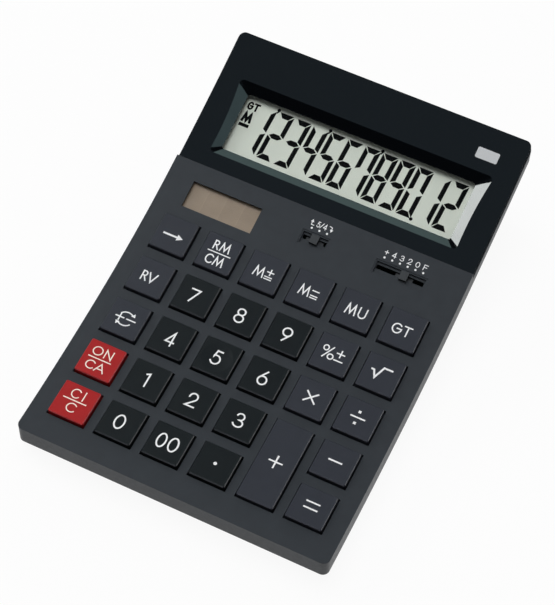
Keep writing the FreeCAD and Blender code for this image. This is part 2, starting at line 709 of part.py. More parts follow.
display_board_bottom = -sheet.display_board_drop - sheet.board_thick
display_board_rear = display_half_depth() + sheet.frame_wall + sheet.display_board_margin
display_board_front = display_frame.inverse().multVec(deck.point(deck.length - sheet.display_board_reach)).y
board_room = [rod(GLOBAL, size("boss_radius") + size("boss_room"), 2 * FAR, x, y, 0)
              for x, y, z in case_screw_places()]
screw_room = [rod(display_frame, size("screw_radius") + size("screw_gap"), 2 * BREAKOUT, x, v,
                  display_board_bottom - BREAKOUT)
              for x, v in display_boss_places()]
display_board_blank = block(display_frame, 2 * (display_boss_places()[-1][0] + sheet.boss_edge),
                            display_board_rear - display_board_front, size("board_thick"), 0,
                            (display_board_rear + display_board_front) / 2, display_board_bottom)
node("display_board", cut(display_board_blank, *board_room, *screw_room))
node("capacitor", rod(display_frame, size("capacitor_radius"), size("capacitor_height"), sheet.capacitor_x,
                      sheet.capacitor_y, display_board_bottom - sheet.capacitor_height))

# solar cell and its clear cover, let into the deck from inside
solar_cover = [length - size("fit_clearance") for length in solar_pocket]
cover_bottom = -sheet.solar_recess - sheet.solar_pane_seat - sheet.solar_pane
node("solar_window", block(solar_frame, *solar_cover, size("solar_pane"), solar_middle, 0, cover_bottom))
node("solar_cell", block(solar_frame, *solar_cover, size("solar_cell"), solar_middle, 0,
                         cover_bottom - sheet.solar_cell_seat - sheet.solar_cell))


# ---------------------------------------------------------------- keyboard

def rectangle(body, name, plane, width, depth, place=None):
    """A sketch of a rectangle centred on the origin of one of the body's own planes."""
    sketch = body.newObject("Sketcher::SketchObject", name)
    support = [item for item in body.Origin.OriginFeatures if item.Role == plane][0]
    sketch.AttachmentSupport = [(support, "")]
    sketch.MapMode = "FlatFace"
    if place is not None:
        sketch.AttachmentOffset = place
    half_x = plain(width) / 2
    half_y = plain(depth) / 2
    corners = [Vector(-half_x, -half_y, 0), Vector(half_x, -half_y, 0), Vector(half_x, half_y, 0),
               Vector(-half_x, half_y, 0)]
    for first, last in zip(corners, corners[1:] + corners[:1]):
        sketch.addGeometry(Part.LineSegment(first, last), False)
    for number in range(4):
        sketch.addConstraint(Sketcher.Constraint("Coincident", number, 2, (number + 1) % 4, 1))
    for number, kind in enumerate(("Horizontal", "Vertical", "Horizontal", "Vertical")):
        sketch.addConstraint(Sketcher.Constraint(kind, number))
    sketch.addConstraint(Sketcher.Constraint("Symmetric", 0, 1, 1, 2, -1, 1))
    across = sketch.addConstraint(Sketcher.Constraint("DistanceX", 0, 1, 0, 2, 2 * half_x))
    along = sketch.addConstraint(Sketcher.Constraint("DistanceY", 1, 1, 1, 2, 2 * half_y))
    for index, length in ((across, width), (along, depth)):
        if isinstance(length, Size):
            sketch.setExpression(f"Constraints[{index}]", length.text)
    return sketch


def circle(body, name, radius, place=None):
    """A sketch of a circle about the origin of the body's ground plane."""
    sketch = body.newObject("Sketcher::SketchObject", name)
    support = [item for item in body.Origin.OriginFeatures if item.Role == "XY_Plane"][0]
    sketch.AttachmentSupport = [(support, "")]
    sketch.MapMode = "FlatFace"
    if place is not None:
        sketch.AttachmentOffset = place
    sketch.addGeometry(Part.Circle(Vector(0, 0, 0), Vector(0, 0, 1), plain(radius)), False)
    sketch.addConstraint(Sketcher.Constraint("Coincident", 0, 3, -1, 1))
    index = sketch.addConstraint(Sketcher.Constraint("Radius", 0, plain(radius)))
    if isinstance(radius, Size):
        sketch.setExpression(f"Constraints[{index}]", radius.text)
    return sketch


def grow(body, kind, name, sketch, length, reverse=False):
    """A Pad or Pocket of a sketch."""
    made = body.newObject(f"PartDesign::{kind}", name)
    made.Profile = sketch
    bind(made, Length=length)
    made.Reversed = reverse
    sketch.Visibility = False
    return made


# A dome is as high as the key's travel and what is left of it when it is pressed flat.
dome_height = size("key_travel") + size("dome_left")
stem_foot = sheet.rubber_thick + dome_height.value


def key_heights(u, spanned):
    """Cap top, flange top and cap tilt over the board, for a key centred at u."""
    reach = key_depth(spanned).value / 2 + sheet.flange_overhang + sheet.flange_clearance
    under = min(height_over_board(u + reach * (2 * share / SAMPLES - 1), wall)[0]
                for share in range(SAMPLES + 1))
    deck_height, slope = height_over_board(u)
    tilt = slope - sheet.board_tilt
    if spanned > 1:
        ends = [height_over_board(u + side * key_depth(spanned).value / 2)[0] for side in (-1, 1)]
        tilt = math.degrees(math.atan2(ends[1] - ends[0], key_depth(spanned).value))
        deck_height = (deck_height + sum(ends) / 2) / 2
    return deck_height + sheet.key_proud, under - sheet.flange_clearance, tilt


def make_key(name, x, u, spanned):
    """A key cap: a hollow block with a sloped top, a flange that keeps it in, and a stem."""
    body = doc.addObject("PartDesign::Body", f"Key_{name}")
    depth = key_depth(spanned)
    cap_top, flange_top, tilt = key_heights(u, spanned)
    flange_bottom = flange_top - sheet.flange_thick
    lift = Placement(Vector(0, 0, flange_bottom), Rotation())
    outline = rectangle(body, "Outline", "XY_Plane", size("key_width"), depth, lift)
    cap = grow(body, "Pad", "Cap", outline, cap_top + BREAKOUT - flange_bottom)
    doc.recompute()
    corners = body.newObject("PartDesign::Fillet", "Corners")
    corners.Base = (cap, [f"Edge{number}" for number, edge in enumerate(cap.Shape.Edges, start=1)
                          if edge.BoundBox.ZLength > sheet.key_proud])
    bind(corners, Radius=size("key_corner"))
    slope = Placement(Vector(0, 0, cap_top), Rotation(Vector(1, 0, 0), tilt))
    cover = rectangle(body, "Slope", "XY_Plane", 2 * size("key_width"), 2 * depth, slope)
    sloped = grow(body, "Pocket", "SlopedTop", cover, FAR, reverse=True)
    doc.recompute()
    sloped_edges = [f"Edge{number}" for number, edge in enumerate(sloped.Shape.Edges, start=1)
                    if is_top_edge(edge, cap_top, tilt)]
    chamfer = body.newObject("PartDesign::Chamfer", "TopEdge")
    chamfer.Base = (sloped, sloped_edges)
    bind(chamfer, Size=size("key_chamfer"))
    rim = rectangle(body, "Flange", "XY_Plane", size("key_width") + 2 * size("flange_overhang"),
                    depth + 2 * size("flange_overhang"), lift)
    grow(body, "Pad", "Retainer", rim, size("flange_thick"))
    low_side = cap_top - abs(math.tan(math.radians(tilt))) * depth.value / 2
    hollow_height = low_side - sheet.key_wall - flange_bottom
    room = rectangle(body, "Room", "XY_Plane", size("key_width") - 2 * size("key_wall"),
                     depth - 2 * size("key_wall"), lift)
    grow(body, "Pocket", "Hollow", room, hollow_height, reverse=True)
    foot = circle(body, "Foot", size("stem_radius"), Placement(Vector(0, 0, stem_foot), Rotation()))
    grow(body, "Pad", "Stem", foot, flange_bottom + hollow_height + EMBED - stem_foot)
    if name == DISHED_KEY:
        # A shallow ball-shaped dish marks the middle key for the finger.
        hollow_radius = (sheet.dish_radius ** 2 + sheet.dish_depth ** 2) / (2 * sheet.dish_depth)
        ball = doc.addObject("Part::Sphere", "DishBall")
        ball.Radius = hollow_radius
        body.Placement = board_frame * Placement(Vector(x, u, 0), Rotation())
        centre = Vector(0, 0, cap_top) + Rotation(Vector(1, 0, 0), tilt).multVec(
            Vector(0, 0, hollow_radius - sheet.dish_depth))
        ball.Placement = body.Placement * Placement(centre, Rotation())
        return node(f"key_{name}", cut(body, ball))
    body.Placement = board_frame * Placement(Vector(x, u, 0), Rotation())
    return node(f"key_{name}", body)


def is_top_edge(edge, cap_top, tilt):
    """True for an edge that lies in the sloped top of a cap."""
    slope = math.tan(math.radians(tilt))
    return all(abs(vertex.Point.z - cap_top - slope * vertex.Point.y) < ON_TOP for vertex in edge.Vertexes)


for name, x, u, spanned in key_places():
    make_key(name, x, u, spanned)

board_rear = sheet.front_margin + key_field + sheet.board_rear_margin
board_length = board_rear - sheet.board_front
board_middle = (board_rear + sheet.board_front) / 2
board_half_width = column_places[-1] + sheet.board_side
board_blank = block(board_frame, 2 * board_half_width, board_length, size("board_thick"), 0, board_middle,
                    -sheet.board_thick)
board_holes = [rod(board_frame, size("screw_radius") + size("screw_gap"), 2 * BREAKOUT, x, u, -BREAKOUT)
               for x, u in board_boss_places()]
node("circuit_board", cut(board_blank, *board_holes))

rubber_front = sheet.board_front + sheet.rubber_margin
rubber_rear = row_places[-1] + sheet.dome_base_radius + sheet.rubber_margin
rubber_blank = block(board_frame, 2 * (board_half_width - sheet.rubber_inset), rubber_rear - rubber_front,
                     size("rubber_thick"), 0, (rubber_front + rubber_rear) / 2, 0)
dome_top = size("stem_radius") + size("dome_rim")
domes = [cone(board_frame, size("dome_base_radius"), dome_top, dome_height, x, u, sheet.rubber_thick)
         for name, x, u, spanned in key_places()]
rubber_hole = size("board_boss_radius") + size("rubber_gap")
rubber_holes = [rod(board_frame, rubber_hole, 2 * BREAKOUT, x, u, -BREAKOUT) for x, u in board_boss_places()]
node("keypad_rubber", cut(fuse(rubber_blank, *domes), *rubber_holes))

node("controller_chip", block(board_frame, size("chip_width"), size("chip_width"), size("chip_height"),
                              sheet.chip_x, row_places[-1] - sheet.chip_line,
                              -sheet.board_thick - sheet.chip_height))


# ---------------------------------------------------------------- flat cable between the boards

def cable_solid():
    """A flat cable from the top of the keyboard's board to the underside of the display's board."""
    thick = sheet.cable_thick
    half = sheet.cable_width / 2
    under = display_board_bottom - thick
    start = board_frame.multVec(Vector(0, board_rear - sheet.cable_landing, 0))
    leave = board_frame.multVec(Vector(0, board_rear + sheet.cable_lead, 0))
    arrive = display_frame.multVec(Vector(0, display_board_front - sheet.cable_lead, under))
    finish = display_frame.multVec(Vector(0, display_board_front + sheet.cable_landing, under))
    path = [start, leave, arrive, finish]
    normals = [board_frame.Rotation.multVec(Vector(0, 0, thick))] * 2
    normals += [display_frame.Rotation.multVec(Vector(0, 0, thick))] * 2
    above = [point + normal for point, normal in zip(path, normals)]
    ring = path + above[::-1]
    return polygon_prism([(point.y, point.z) for point in ring], -half, half)


node("ribbon_cable", feature(cable_solid(), "FlatCable"))


# ---------------------------------------------------------------- slide switches

def contact_height():
    """Height of the display board's top face under the switches, in the switches' frame."""
    surface = display_frame.multVec(Vector(0, 0, -sheet.display_board_drop))
    normal = display_frame.Rotation.multVec(Vector(0, 0, 1))
    reach = sheet.carrier_depth / 2 + sheet.carrier_margin
    heights = []
    for v in (-reach, reach):
        foot = control_frame.multVec(Vector(0, v, 0))
        down = control_frame.Rotation.multVec(Vector(0, 0, -1))
        heights.append(-normal.dot(surface - foot) / normal.dot(down))
    return max(heights)


def make_switch(name, x, positions, rest):
    """A slider: a finger tab in the well, a neck through the slot, a plate under the deck and a carrier."""
    place_x = x + (rest - (positions - 1) / 2) * sheet.detent_pitch
    tab_bottom = sheet.running_clearance - sheet.well_depth
    under = -wall - sheet.plate_gap
    tab = block(control_frame, size("tab_width"), size("tab_length"), size("tab_proud") - tab_bottom,
                place_x, tab_line, tab_bottom)
    neck = block(control_frame, size("neck_width"), size("neck_length"), tab_bottom - under + 2 * EMBED,
                 place_x, tab_line, under - EMBED)
    plate = block(control_frame, size("neck_width") + 2 * size("slider_overhang"), size("plate_depth"),
                  size("slider_thick"), place_x, 0, under - sheet.slider_thick)
    carrier_bottom = contact_height() + sheet.wiper_height + sheet.wiper_gap
    carrier_top = under - sheet.slider_thick + EMBED
    carrier = block(control_frame, size("carrier_width"), size("carrier_depth"), carrier_top - carrier_bottom,
                    place_x, 0, carrier_bottom)
    node(f"{name}_switch", fuse(tab, neck, plate, carrier))
    strip = block(control_frame, size("wiper_width"), size("wiper_width"), size("wiper_thick"), place_x, 0,
                  carrier_bottom - sheet.wiper_thick)
    prongs = [block(control_frame, size("prong_width"), size("prong_length"),
                    size("wiper_height") - size("wiper_thick"), place_x + side * sheet.prong_pitch, 0,
                    carrier_bottom - sheet.wiper_height) for side in (-1, 0, 1)]
    node(f"{name}_wiper", fuse(strip, *prongs))


for switch in switch_places():
    make_switch(*switch)


# ---------------------------------------------------------------- screws, feet and battery

def screw(place, length, x, y, z):
    """A pan-head screw whose head seats under z, its shank along +Z of the frame."""
    shank = rod(place, size("screw_radius"), length, x, y, z)
    head = rod(place, size("screw_head_radius"), size("screw_head"), x, y, z - sheet.screw_head)
    drive = (size("drive_length"), size("drive_width"))
    slot = block(place, *drive, size("drive_depth"), x, y, z - sheet.screw_head)
    cross = block(place, *drive[::-1], size("drive_depth"), x, y, z - sheet.screw_head)
    return cut(fuse(shank, head), slot, cross)


node("case_screws", group(*[screw(GLOBAL, size("screw_length"), x, y, z - sheet.screw_seat)
                            for x, y, z in case_screw_places()]))
board_screw_length = size("board_thick") + size("board_screw_grip")
node("board_screws", group(*[screw(board_frame, board_screw_length, x, u, -sheet.board_thick)
                             for x, u in board_boss_places()]))
node("display_board_screws", group(*[screw(display_frame, board_screw_length, x, v, display_board_bottom)
                                     for x, v in display_boss_places()]))
node("rubber_feet", group(*[rod(GLOBAL, size("foot_radius"), size("foot_height"), x, y, 0)
                            for x, y in foot_places]))

door_blank = block(GLOBAL, size("door_length"), size("door_width"), size("door_thick"), door_middle, cell_y,
                   sheet.floor_height)
door_hole = rod(GLOBAL, size("screw_radius") + size("shank_gap"), BREAKOUT, door_screw_x, cell_y, 0)
door_sink = rod(GLOBAL, size("screw_head_radius") + size("door_head_gap"), BREAKOUT, door_screw_x, cell_y,
                door_seat - BREAKOUT)
grip = [block(GLOBAL, size("grip_width"), size("grip_length"), 2 * size("grip_depth"),
              sheet.cell_x - sheet.grip_offset + step * sheet.grip_pitch, cell_y,
              sheet.floor_height - sheet.grip_depth) for step in range(3)]
node("battery_door", cut(door_blank, door_hole, door_sink, *grip))
door_shank = rod(GLOBAL, size("screw_radius"), size("door_screw_length"), door_screw_x, cell_y, door_seat)
door_head = rod(GLOBAL, size("screw_head_radius"), size("door_head"), door_screw_x, cell_y,
                sheet.floor_height)
door_slot = block(GLOBAL, size("drive_length"), size("drive_width"), size("door_drive_depth"), door_screw_x,
                  cell_y, sheet.floor_height)
node("battery_door_screw", cut(fuse(door_shank, door_head), door_slot))

node("button_cell", rod(GLOBAL, size("cell_radius"), size("cell_height"), sheet.cell_x, cell_y, cell_bottom))
node("battery_contact_top", block(GLOBAL, size("contact_width"), size("contact_length"),
                                  size("contact_thick"), sheet.cell_x, cell_y, cell_top))
side_contact_x = sheet.cell_x - sheet.cell_radius - sheet.side_contact_thick / 2 - sheet.side_contact_gap
node("battery_contact_side", block(GLOBAL, size("side_contact_thick"), size("side_contact_width"),
                                   size("side_contact_height"), side_contact_x, cell_y,
                                   cell_bottom + sheet.side_contact_lift))

# ---------------------------------------------------------------- checks and export

doc.recompute()
for thing in doc.Objects:
    if "Invalid" in thing.State or "Error" in thing.State:
        raise RuntimeError(f"{thing.Name} failed: {thing.State}")
for label, thing in nodes.items():
    if thing.Shape.isNull() or not thing.Shape.isValid() or not thing.Shape.Solids:
        raise RuntimeError(f"{label} has no valid solid")
os.makedirs("parts", exist_ok=True)
for label, thing in nodes.items():
    thing.Shape.exportStep(f"parts/{label}.step")
print(f"{len(nodes)} nodes, case {case_width.value:.1f} x {case_length:.1f} mm")
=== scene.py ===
"""Finishes for a desk calculator: materials, printed legends, display figures and a small studio.

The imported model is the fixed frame. Every new piece is a thin printed plate laid on one of its faces.
"""

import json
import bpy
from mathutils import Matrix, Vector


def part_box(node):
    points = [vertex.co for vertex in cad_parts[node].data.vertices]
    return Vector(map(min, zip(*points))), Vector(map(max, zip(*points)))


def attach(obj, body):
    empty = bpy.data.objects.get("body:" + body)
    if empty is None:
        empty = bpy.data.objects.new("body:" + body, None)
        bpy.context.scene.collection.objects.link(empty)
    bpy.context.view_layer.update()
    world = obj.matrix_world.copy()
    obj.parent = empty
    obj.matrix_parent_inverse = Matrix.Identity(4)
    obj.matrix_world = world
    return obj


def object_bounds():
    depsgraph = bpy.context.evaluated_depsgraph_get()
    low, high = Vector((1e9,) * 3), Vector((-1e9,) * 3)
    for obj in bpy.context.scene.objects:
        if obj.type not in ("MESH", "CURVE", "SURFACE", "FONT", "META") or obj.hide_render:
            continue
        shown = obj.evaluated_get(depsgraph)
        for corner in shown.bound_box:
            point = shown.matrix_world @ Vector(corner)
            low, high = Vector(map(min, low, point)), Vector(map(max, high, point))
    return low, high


bl_info = {
    "name": "Desk calculator finishes",
    "version": (1, 0, 0),
    "blender": (4, 5, 0),
    "location": "View3D > Sidebar > Calculator",
    "description": "Materials, key legends, display figures and studio for a desk calculator",
    "category": "Object",
}

import bpy
import numpy as np
from mathutils import Matrix, Vector, geometry

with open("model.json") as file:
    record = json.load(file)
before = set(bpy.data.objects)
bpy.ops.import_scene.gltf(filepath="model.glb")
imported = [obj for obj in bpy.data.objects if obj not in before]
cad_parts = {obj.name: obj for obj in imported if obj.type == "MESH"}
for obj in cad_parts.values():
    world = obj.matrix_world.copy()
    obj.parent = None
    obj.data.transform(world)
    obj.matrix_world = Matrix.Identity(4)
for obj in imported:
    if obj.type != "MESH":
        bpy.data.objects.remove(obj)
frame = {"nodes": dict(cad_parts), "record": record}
PACKED_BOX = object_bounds()

MM = 0.001
PRINT_TOP = 0.03        # mm that print stands above its face
PRINT_SUNK = 0.02       # mm that its underside lies below the face
SHARPEST_MITRE = 0.35   # lower bound of the cosine in a pen stroke's mitre
FLAT_TURN = 1e-3        # sine of a turn too small to need a kite
WELD = 1e-4             # mm within which outline points are one point
ARC_STEP = 12.0         # degrees between the points of a printed arc
NOISE_RANGE = 0.3, 0.7  # where most values of a noise lie
LEAST_AREA = 1e-14      # m2, under which a packed triangle is left out of the search for a face
UPWARD = 0.8            # least height of the normal of a face that looks up


def shade(red, green, blue):
    """A colour given as 8-bit display values, as the linear values that shaders use."""
    value = np.array([red, green, blue]) / 255
    return tuple(np.where(value <= 0.04045, value / 12.92, ((value + 0.055) / 1.055) ** 2.4).tolist())


# ---- sizes and colours a user may change


def colour(name, description, red, green, blue):
    """A colour property with its default in display values."""
    return bpy.props.FloatVectorProperty(
        name=name, description=description, subtype="COLOR", size=3, min=0, max=1,
        default=shade(red, green, blue))


def millimetres(name, description, default):
    """A length property, in millimetres."""
    return bpy.props.FloatProperty(name=name, description=description, default=default, min=0, precision=2)


def angle(name, description, degrees):
    """An angle property with its default in degrees."""
    return bpy.props.FloatProperty(
        name=name, description=description, subtype="ANGLE", default=np.radians(degrees))


def power(name, description, watts):
    """A lamp's power."""
    return bpy.props.FloatProperty(name=name, description=description, unit="POWER", default=watts, min=0)


def strength(name, description, default):
    """A brightness of the sky, or a share of it."""
    return bpy.props.FloatProperty(name=name, description=description, default=default, min=0)


class CalculatorColours(bpy.types.PropertyGroup):
    """Colours of the mouldings, keys, prints and display."""

    deck: colour("Deck", "Textured upper housing", 50, 54, 59)
    base: colour("Base", "Lower housing and battery door", 44, 46, 49)
    panel: colour("Panel", "High gloss display panel", 6, 8, 11)
    function_key: colour("Function keys", "Keys round the number block", 48, 51, 59)
    number_key: colour("Number keys", "Number block", 19, 24, 27)
    red_key: colour("Red keys", "On and clear keys", 168, 28, 30)
    switch: colour("Switch tabs", "Slide switch tabs", 60, 63, 66)
    ink: colour("Legend ink", "Print on keys and deck", 248, 249, 250)
    warm_ink: colour("Red key ink", "Print on the red keys", 255, 240, 228)
    display: colour("Display", "Unlit display", 234, 242, 230)
    figure: colour("Display figures", "Dark display segments", 4, 4, 4)
    cell: colour("Solar cell", "Amorphous solar cell", 160, 143, 124)
    badge: colour("Badge", "Bare badge patch", 205, 208, 210)


class CalculatorSizes(bpy.types.PropertyGroup):
    """Sizes of the prints, in millimetres."""

    legend_pen: millimetres("Legend pen", "Stroke width of single-line key legends", 0.6)
    fine_pen: millimetres("Fine pen", "Stroke width of two-line key legends", 0.49)
    word_pen: millimetres("Word pen", "Stroke width of the legends of two letters", 0.52)
    red_pen: millimetres("Red key pen", "Stroke width of the letters on the red keys", 0.42)
    root_pen: millimetres("Root pen", "Stroke width of the root sign", 0.68)
    legend_lowered: millimetres(
        "Legend shift", "How far the back row's legends sit towards the user; the other rows follow the "
        "square of their place up the key field", 0.55)
    scale_pen: millimetres("Scale pen", "Stroke width of the switch scales", 0.28)
    scale_dot: millimetres("Scale dot", "Radius of the dots over the switches", 0.4)
    scale_step: millimetres("Scale step", "Distance between switch positions", 3.0)
    figure_pitch: millimetres("Figure pitch", "Distance between display figures", 7.0)
    figure_width: millimetres("Figure width", "Width of one display figure", 6.1)
    figure_height: millimetres("Figure height", "Height of one display figure", 19.6)
    bar_width: millimetres("Upright bar", "Width of an upright segment", 1.75)
    bar_height: millimetres("Level bar", "Height of a level segment", 2.1)
    segment_gap: millimetres("Segment gap", "Clear line between segments", 0.22)
    badge_width: millimetres("Badge width", "Width of the badge patch", 8.4)
    badge_height: millimetres("Badge height", "Height of the badge patch", 4.2)


class CalculatorStage(bpy.types.PropertyGroup):
    """Camera and studio light."""

    azimuth: angle("Azimuth", "Camera angle round the object", 24.266)
    elevation: angle("Elevation", "Camera angle above the desk", 56.902)
    roll: angle("Roll", "Camera turn about its own axis", 2.004)
    distance: bpy.props.FloatProperty(
        name="Distance", description="Camera to target", unit="LENGTH", default=0.719833)
    target: bpy.props.FloatVectorProperty(
        name="Target", description="Point that the camera looks at", subtype="TRANSLATION", size=3,
        default=(-0.000007, -0.002712, 0.017940))
    lens: bpy.props.FloatProperty(
        name="Lens", description="Focal length in millimetres", unit="CAMERA", default=121.19)
    key_power: power("Key light", "Power of the large side light", 10.0)
    overhead_power: power("Overhead light", "Power of the soft light that shows in no reflection", 26.0)
    edge_power: power("Edge lights", "Power of the low strips; the front one has a part of it", 5.0)
    sky: strength("Ring", "Brightness of the sky halfway up", 1.2)
    horizon: strength("Horizon", "Brightness of the sky near the horizon", 0.3)
    near_side: strength("Near side", "Share of the ring's brightness left in front", 0.15)
    zenith: strength("Zenith", "Share of the ring's brightness left overhead", 0.015)


# ---- shader expressions


def math_node(kind, reflected=False):
    """An operator of Wire: one Math node of a kind. A reflected one has the wire on the operator's right."""
    def apply(wire, other):
        values = (other, wire) if reflected else (wire, other)
        return wire.finish.node("ShaderNodeMath", {"operation": kind}, dict(enumerate(values)))
    return apply


class Wire:
    """A node's output socket. Each operation on it adds one Math node."""

    def __init__(self, finish, socket):
        self.finish, self.socket = finish, socket

    __add__ = __radd__ = math_node("ADD")
    __sub__, __rsub__ = math_node("SUBTRACT"), math_node("SUBTRACT", reflected=True)
    __mul__ = __rmul__ = math_node("MULTIPLY")
    __truediv__, __rtruediv__ = math_node("DIVIDE"), math_node("DIVIDE", reflected=True)
    __mod__, __rmod__ = math_node("FLOORED_MODULO"), math_node("FLOORED_MODULO", reflected=True)
    __lt__, __gt__ = math_node("LESS_THAN"), math_node("GREATER_THAN")

    def __abs__(self):
        return self.finish.node("ShaderNodeMath", {"operation": "ABSOLUTE"}, {0: self})

    def clamped(self):
        """The value kept between 0 and 1."""
        return self.finish.node("ShaderNodeMath", {"operation": "ADD", "use_clamp": True}, {0: self, 1: 0.0})


class Finish:
    """A material (or world) under construction: one shader, and the nodes that feed it."""

    def __init__(self, owner, shader, **constants):
        owner.use_nodes = True
        self.owner, self.tree = owner, owner.node_tree
        self.tree.nodes.clear()
        self.shader = self.tree.nodes.new(shader)
        for name, value in constants.items():
            self.feed(self.shader, name.replace("_", " "), value)

    def feed(self, node, socket, value):
        """Links or sets one input of a node."""
        target = node.inputs[socket]
        if isinstance(value, Wire):
            self.tree.links.new(value.socket, target)
        elif target.type == "RGBA" and len(value) == 3:
            target.default_value = (*value, 1.0)
        else:
            target.default_value = value

    def node(self, kind, settings=None, inputs=None, output=0):
        """Adds a node: its settings first, then the values or links of its sockets."""
        made = self.tree.nodes.new(kind)
        for name, value in (settings or {}).items():
            setattr(made, name, value)
        for socket, value in (inputs or {}).items():
            self.feed(made, socket, value)
        return Wire(self, made.outputs[output])

    def set(self, **values):
        """Feeds sockets of the main shader, named with _ for a space."""
        for name, value in values.items():
            self.feed(self.shader, name.replace("_", " "), value)

    def place(self, axis=None):
        """Object coordinates in metres, or one axis of them."""
        point = self.node("ShaderNodeTexCoord", output="Object")
        if axis is None:
            return point
        return self.node("ShaderNodeSeparateXYZ", inputs={0: point}, output=axis)

    def noise(self, size, detail=2.0, roughness=0.5, stretch=None):
        """Noise whose features are about size metres across; stretch multiplies the axes."""
        point = self.place()
        if stretch:
            point = self.node("ShaderNodeMapping", inputs={"Vector": point, "Scale": stretch})
        return self.node("ShaderNodeTexNoise", inputs={
            "Vector": point, "Scale": 1 / size, "Detail": detail, "Roughness": roughness})

    def spread(self, value, low, high):
        """A noise value stretched from its usual range to low..high."""
        return self.node("ShaderNodeMapRange", {"clamp": True}, {
            "Value": value, "From Min": NOISE_RANGE[0], "From Max": NOISE_RANGE[1],
            "To Min": low, "To Max": high})

    def blend(self, factor, first, second):
        """A mix of two colours."""
        return self.node("ShaderNodeMix", {"data_type": "RGBA"},
                         {"Factor": factor, 6: first, 7: second}, output=2)

    def tint(self, base, factor):
        """A base colour made darker or lighter by a factor that changes over the surface."""
        return self.node("ShaderNodeVectorMath", {"operation": "SCALE"}, {0: base, "Scale": factor})

    def bump(self, height, depth):
        """Bumps of a depth in metres, for the shader's normal."""
        return self.node("ShaderNodeBump", inputs={"Height": height, "Distance": depth, "Strength": 1.0})

    def out(self, kind="ShaderNodeOutputMaterial"):
        """Connects the shader to the output and gives the material or world."""
        end = self.tree.nodes.new(kind)
        self.tree.links.new(self.shader.outputs[0], end.inputs["Surface"])
        return self.owner


def principled(name, **constants):
    """A Finish on a new material with the Principled shader."""
    return Finish(bpy.data.materials.new(name), "ShaderNodeBsdfPrincipled", **constants)


def moulded(name, base, rough=0.42, grain=0.00022, depth=0.000006, mottle=0.06, gloss=0.22):
    """Spark-eroded moulded plastic: fine pits, slight mottle in colour and in sheen."""
    f = principled(name, Specular_IOR_Level=gloss)
    f.set(Base_Color=f.tint(base, f.spread(f.noise(size=0.004, detail=3), 1 - mottle, 1 + mottle)),
          Roughness=f.spread(f.noise(size=0.0011, detail=3), rough - 0.05, rough + 0.05),
          Normal=f.bump(f.noise(grain, roughness=0.6), depth))
    return f.out()


def polished(name, base, rough=0.07, waves=0.000004):
    """High gloss plastic: nearly flat, with faint flow waves and a little haze."""
    f = principled(name, Specular_IOR_Level=0.5)
    f.set(Base_Color=f.tint(base, f.spread(f.noise(size=0.02), 0.94, 1.06)),
          Roughness=f.spread(f.noise(size=0.006, detail=4), rough - 0.02, rough + 0.04),
          Normal=f.bump(f.noise(size=0.012, detail=1), waves))
    return f.out()


def clear(name, base, alpha):
    """A clear moulded pane: mostly see-through, a little cloudier in patches."""
    f = principled(name, Base_Color=base, Specular_IOR_Level=0.6)
    haze = f.noise(size=0.01, detail=3)
    f.set(Roughness=f.spread(haze, 0.03, 0.07), Alpha=f.spread(haze, alpha, alpha + 0.02))
    f.owner.surface_render_method = "BLENDED"
    return f.out()


def display_glass(name, base):
    """Polariser over the display: matt film with very fine sparkle and a slight drift of tone."""
    f = principled(name, Specular_IOR_Level=0.4)
    sparkle = f.spread(f.noise(size=0.00025), 0.975, 1.02)
    drift = f.spread(f.noise(size=0.03, detail=1), 0.98, 1.02)
    f.set(Base_Color=f.tint(base, sparkle * drift), Roughness=f.spread(f.noise(size=0.0006), 0.34, 0.44))
    return f.out()


def solar(name, base, cells, left, right, seam=0.03, paler=0.13):
    """Amorphous cell: strips side by side, a thin pale seam between them and a faint change of tone across
    each. seam is its share of a strip, and paler how much lighter it is."""
    f = principled(name, Specular_IOR_Level=0.5)
    across = (f.place("X") - left) / ((right - left) / cells) % 1.0
    strip = abs(across - 0.5) < (1 - seam) / 2
    tone = f.spread(f.noise(size=0.006, detail=3), 0.94, 1.06) * (1 + paler - strip * paler)
    f.set(Base_Color=f.tint(base, tone * (0.96 + across * 0.06)),
          Roughness=f.spread(f.noise(size=0.002), 0.3, 0.4))
    return f.out()


def metal(name, base, rough, stretch=(1, 14, 1), scratch=0.000006):
    """Rolled or turned metal with fine lines across the axes that are stretched."""
    f = principled(name, Metallic=1.0)
    lines = f.noise(size=0.0012, detail=4, stretch=stretch)
    f.set(Base_Color=f.tint(base, f.spread(lines, 0.88, 1.05)),
          Roughness=f.spread(lines, rough - 0.06, rough + 0.1),
          Normal=f.bump(lines, scratch))
    return f.out()


def rubber(name, base, rough=0.7, pits=0.00001):
    """Matt rubber with soft dusty mottle."""
    f = principled(name, Specular_IOR_Level=0.35)
    dust = f.noise(size=0.0025, detail=5, roughness=0.65)
    f.set(Base_Color=f.tint(base, f.spread(dust, 0.88, 1.12)),
          Roughness=f.spread(dust, rough - 0.08, rough + 0.08),
          Normal=f.bump(f.noise(size=0.0004), pits))
    return f.out()


def laminate(name, base, thread=0.0012, relief=0.00001):
    """Glass-fibre board under solder mask: crossed threads showing faintly through a glossy green."""
    f = principled(name, Specular_IOR_Level=0.5)
    weave = abs(f.place("X") / thread % 1.0 - 0.5) + abs(f.place("Y") / thread % 1.0 - 0.5)
    tone = f.spread(f.noise(size=0.008, detail=3), 0.94, 1.06)
    f.set(Base_Color=f.tint(base, (0.9 + weave * 0.18) * tone),
          Roughness=f.spread(f.noise(size=0.002), 0.28, 0.4),
          Normal=f.bump(weave, relief))
    return f.out()


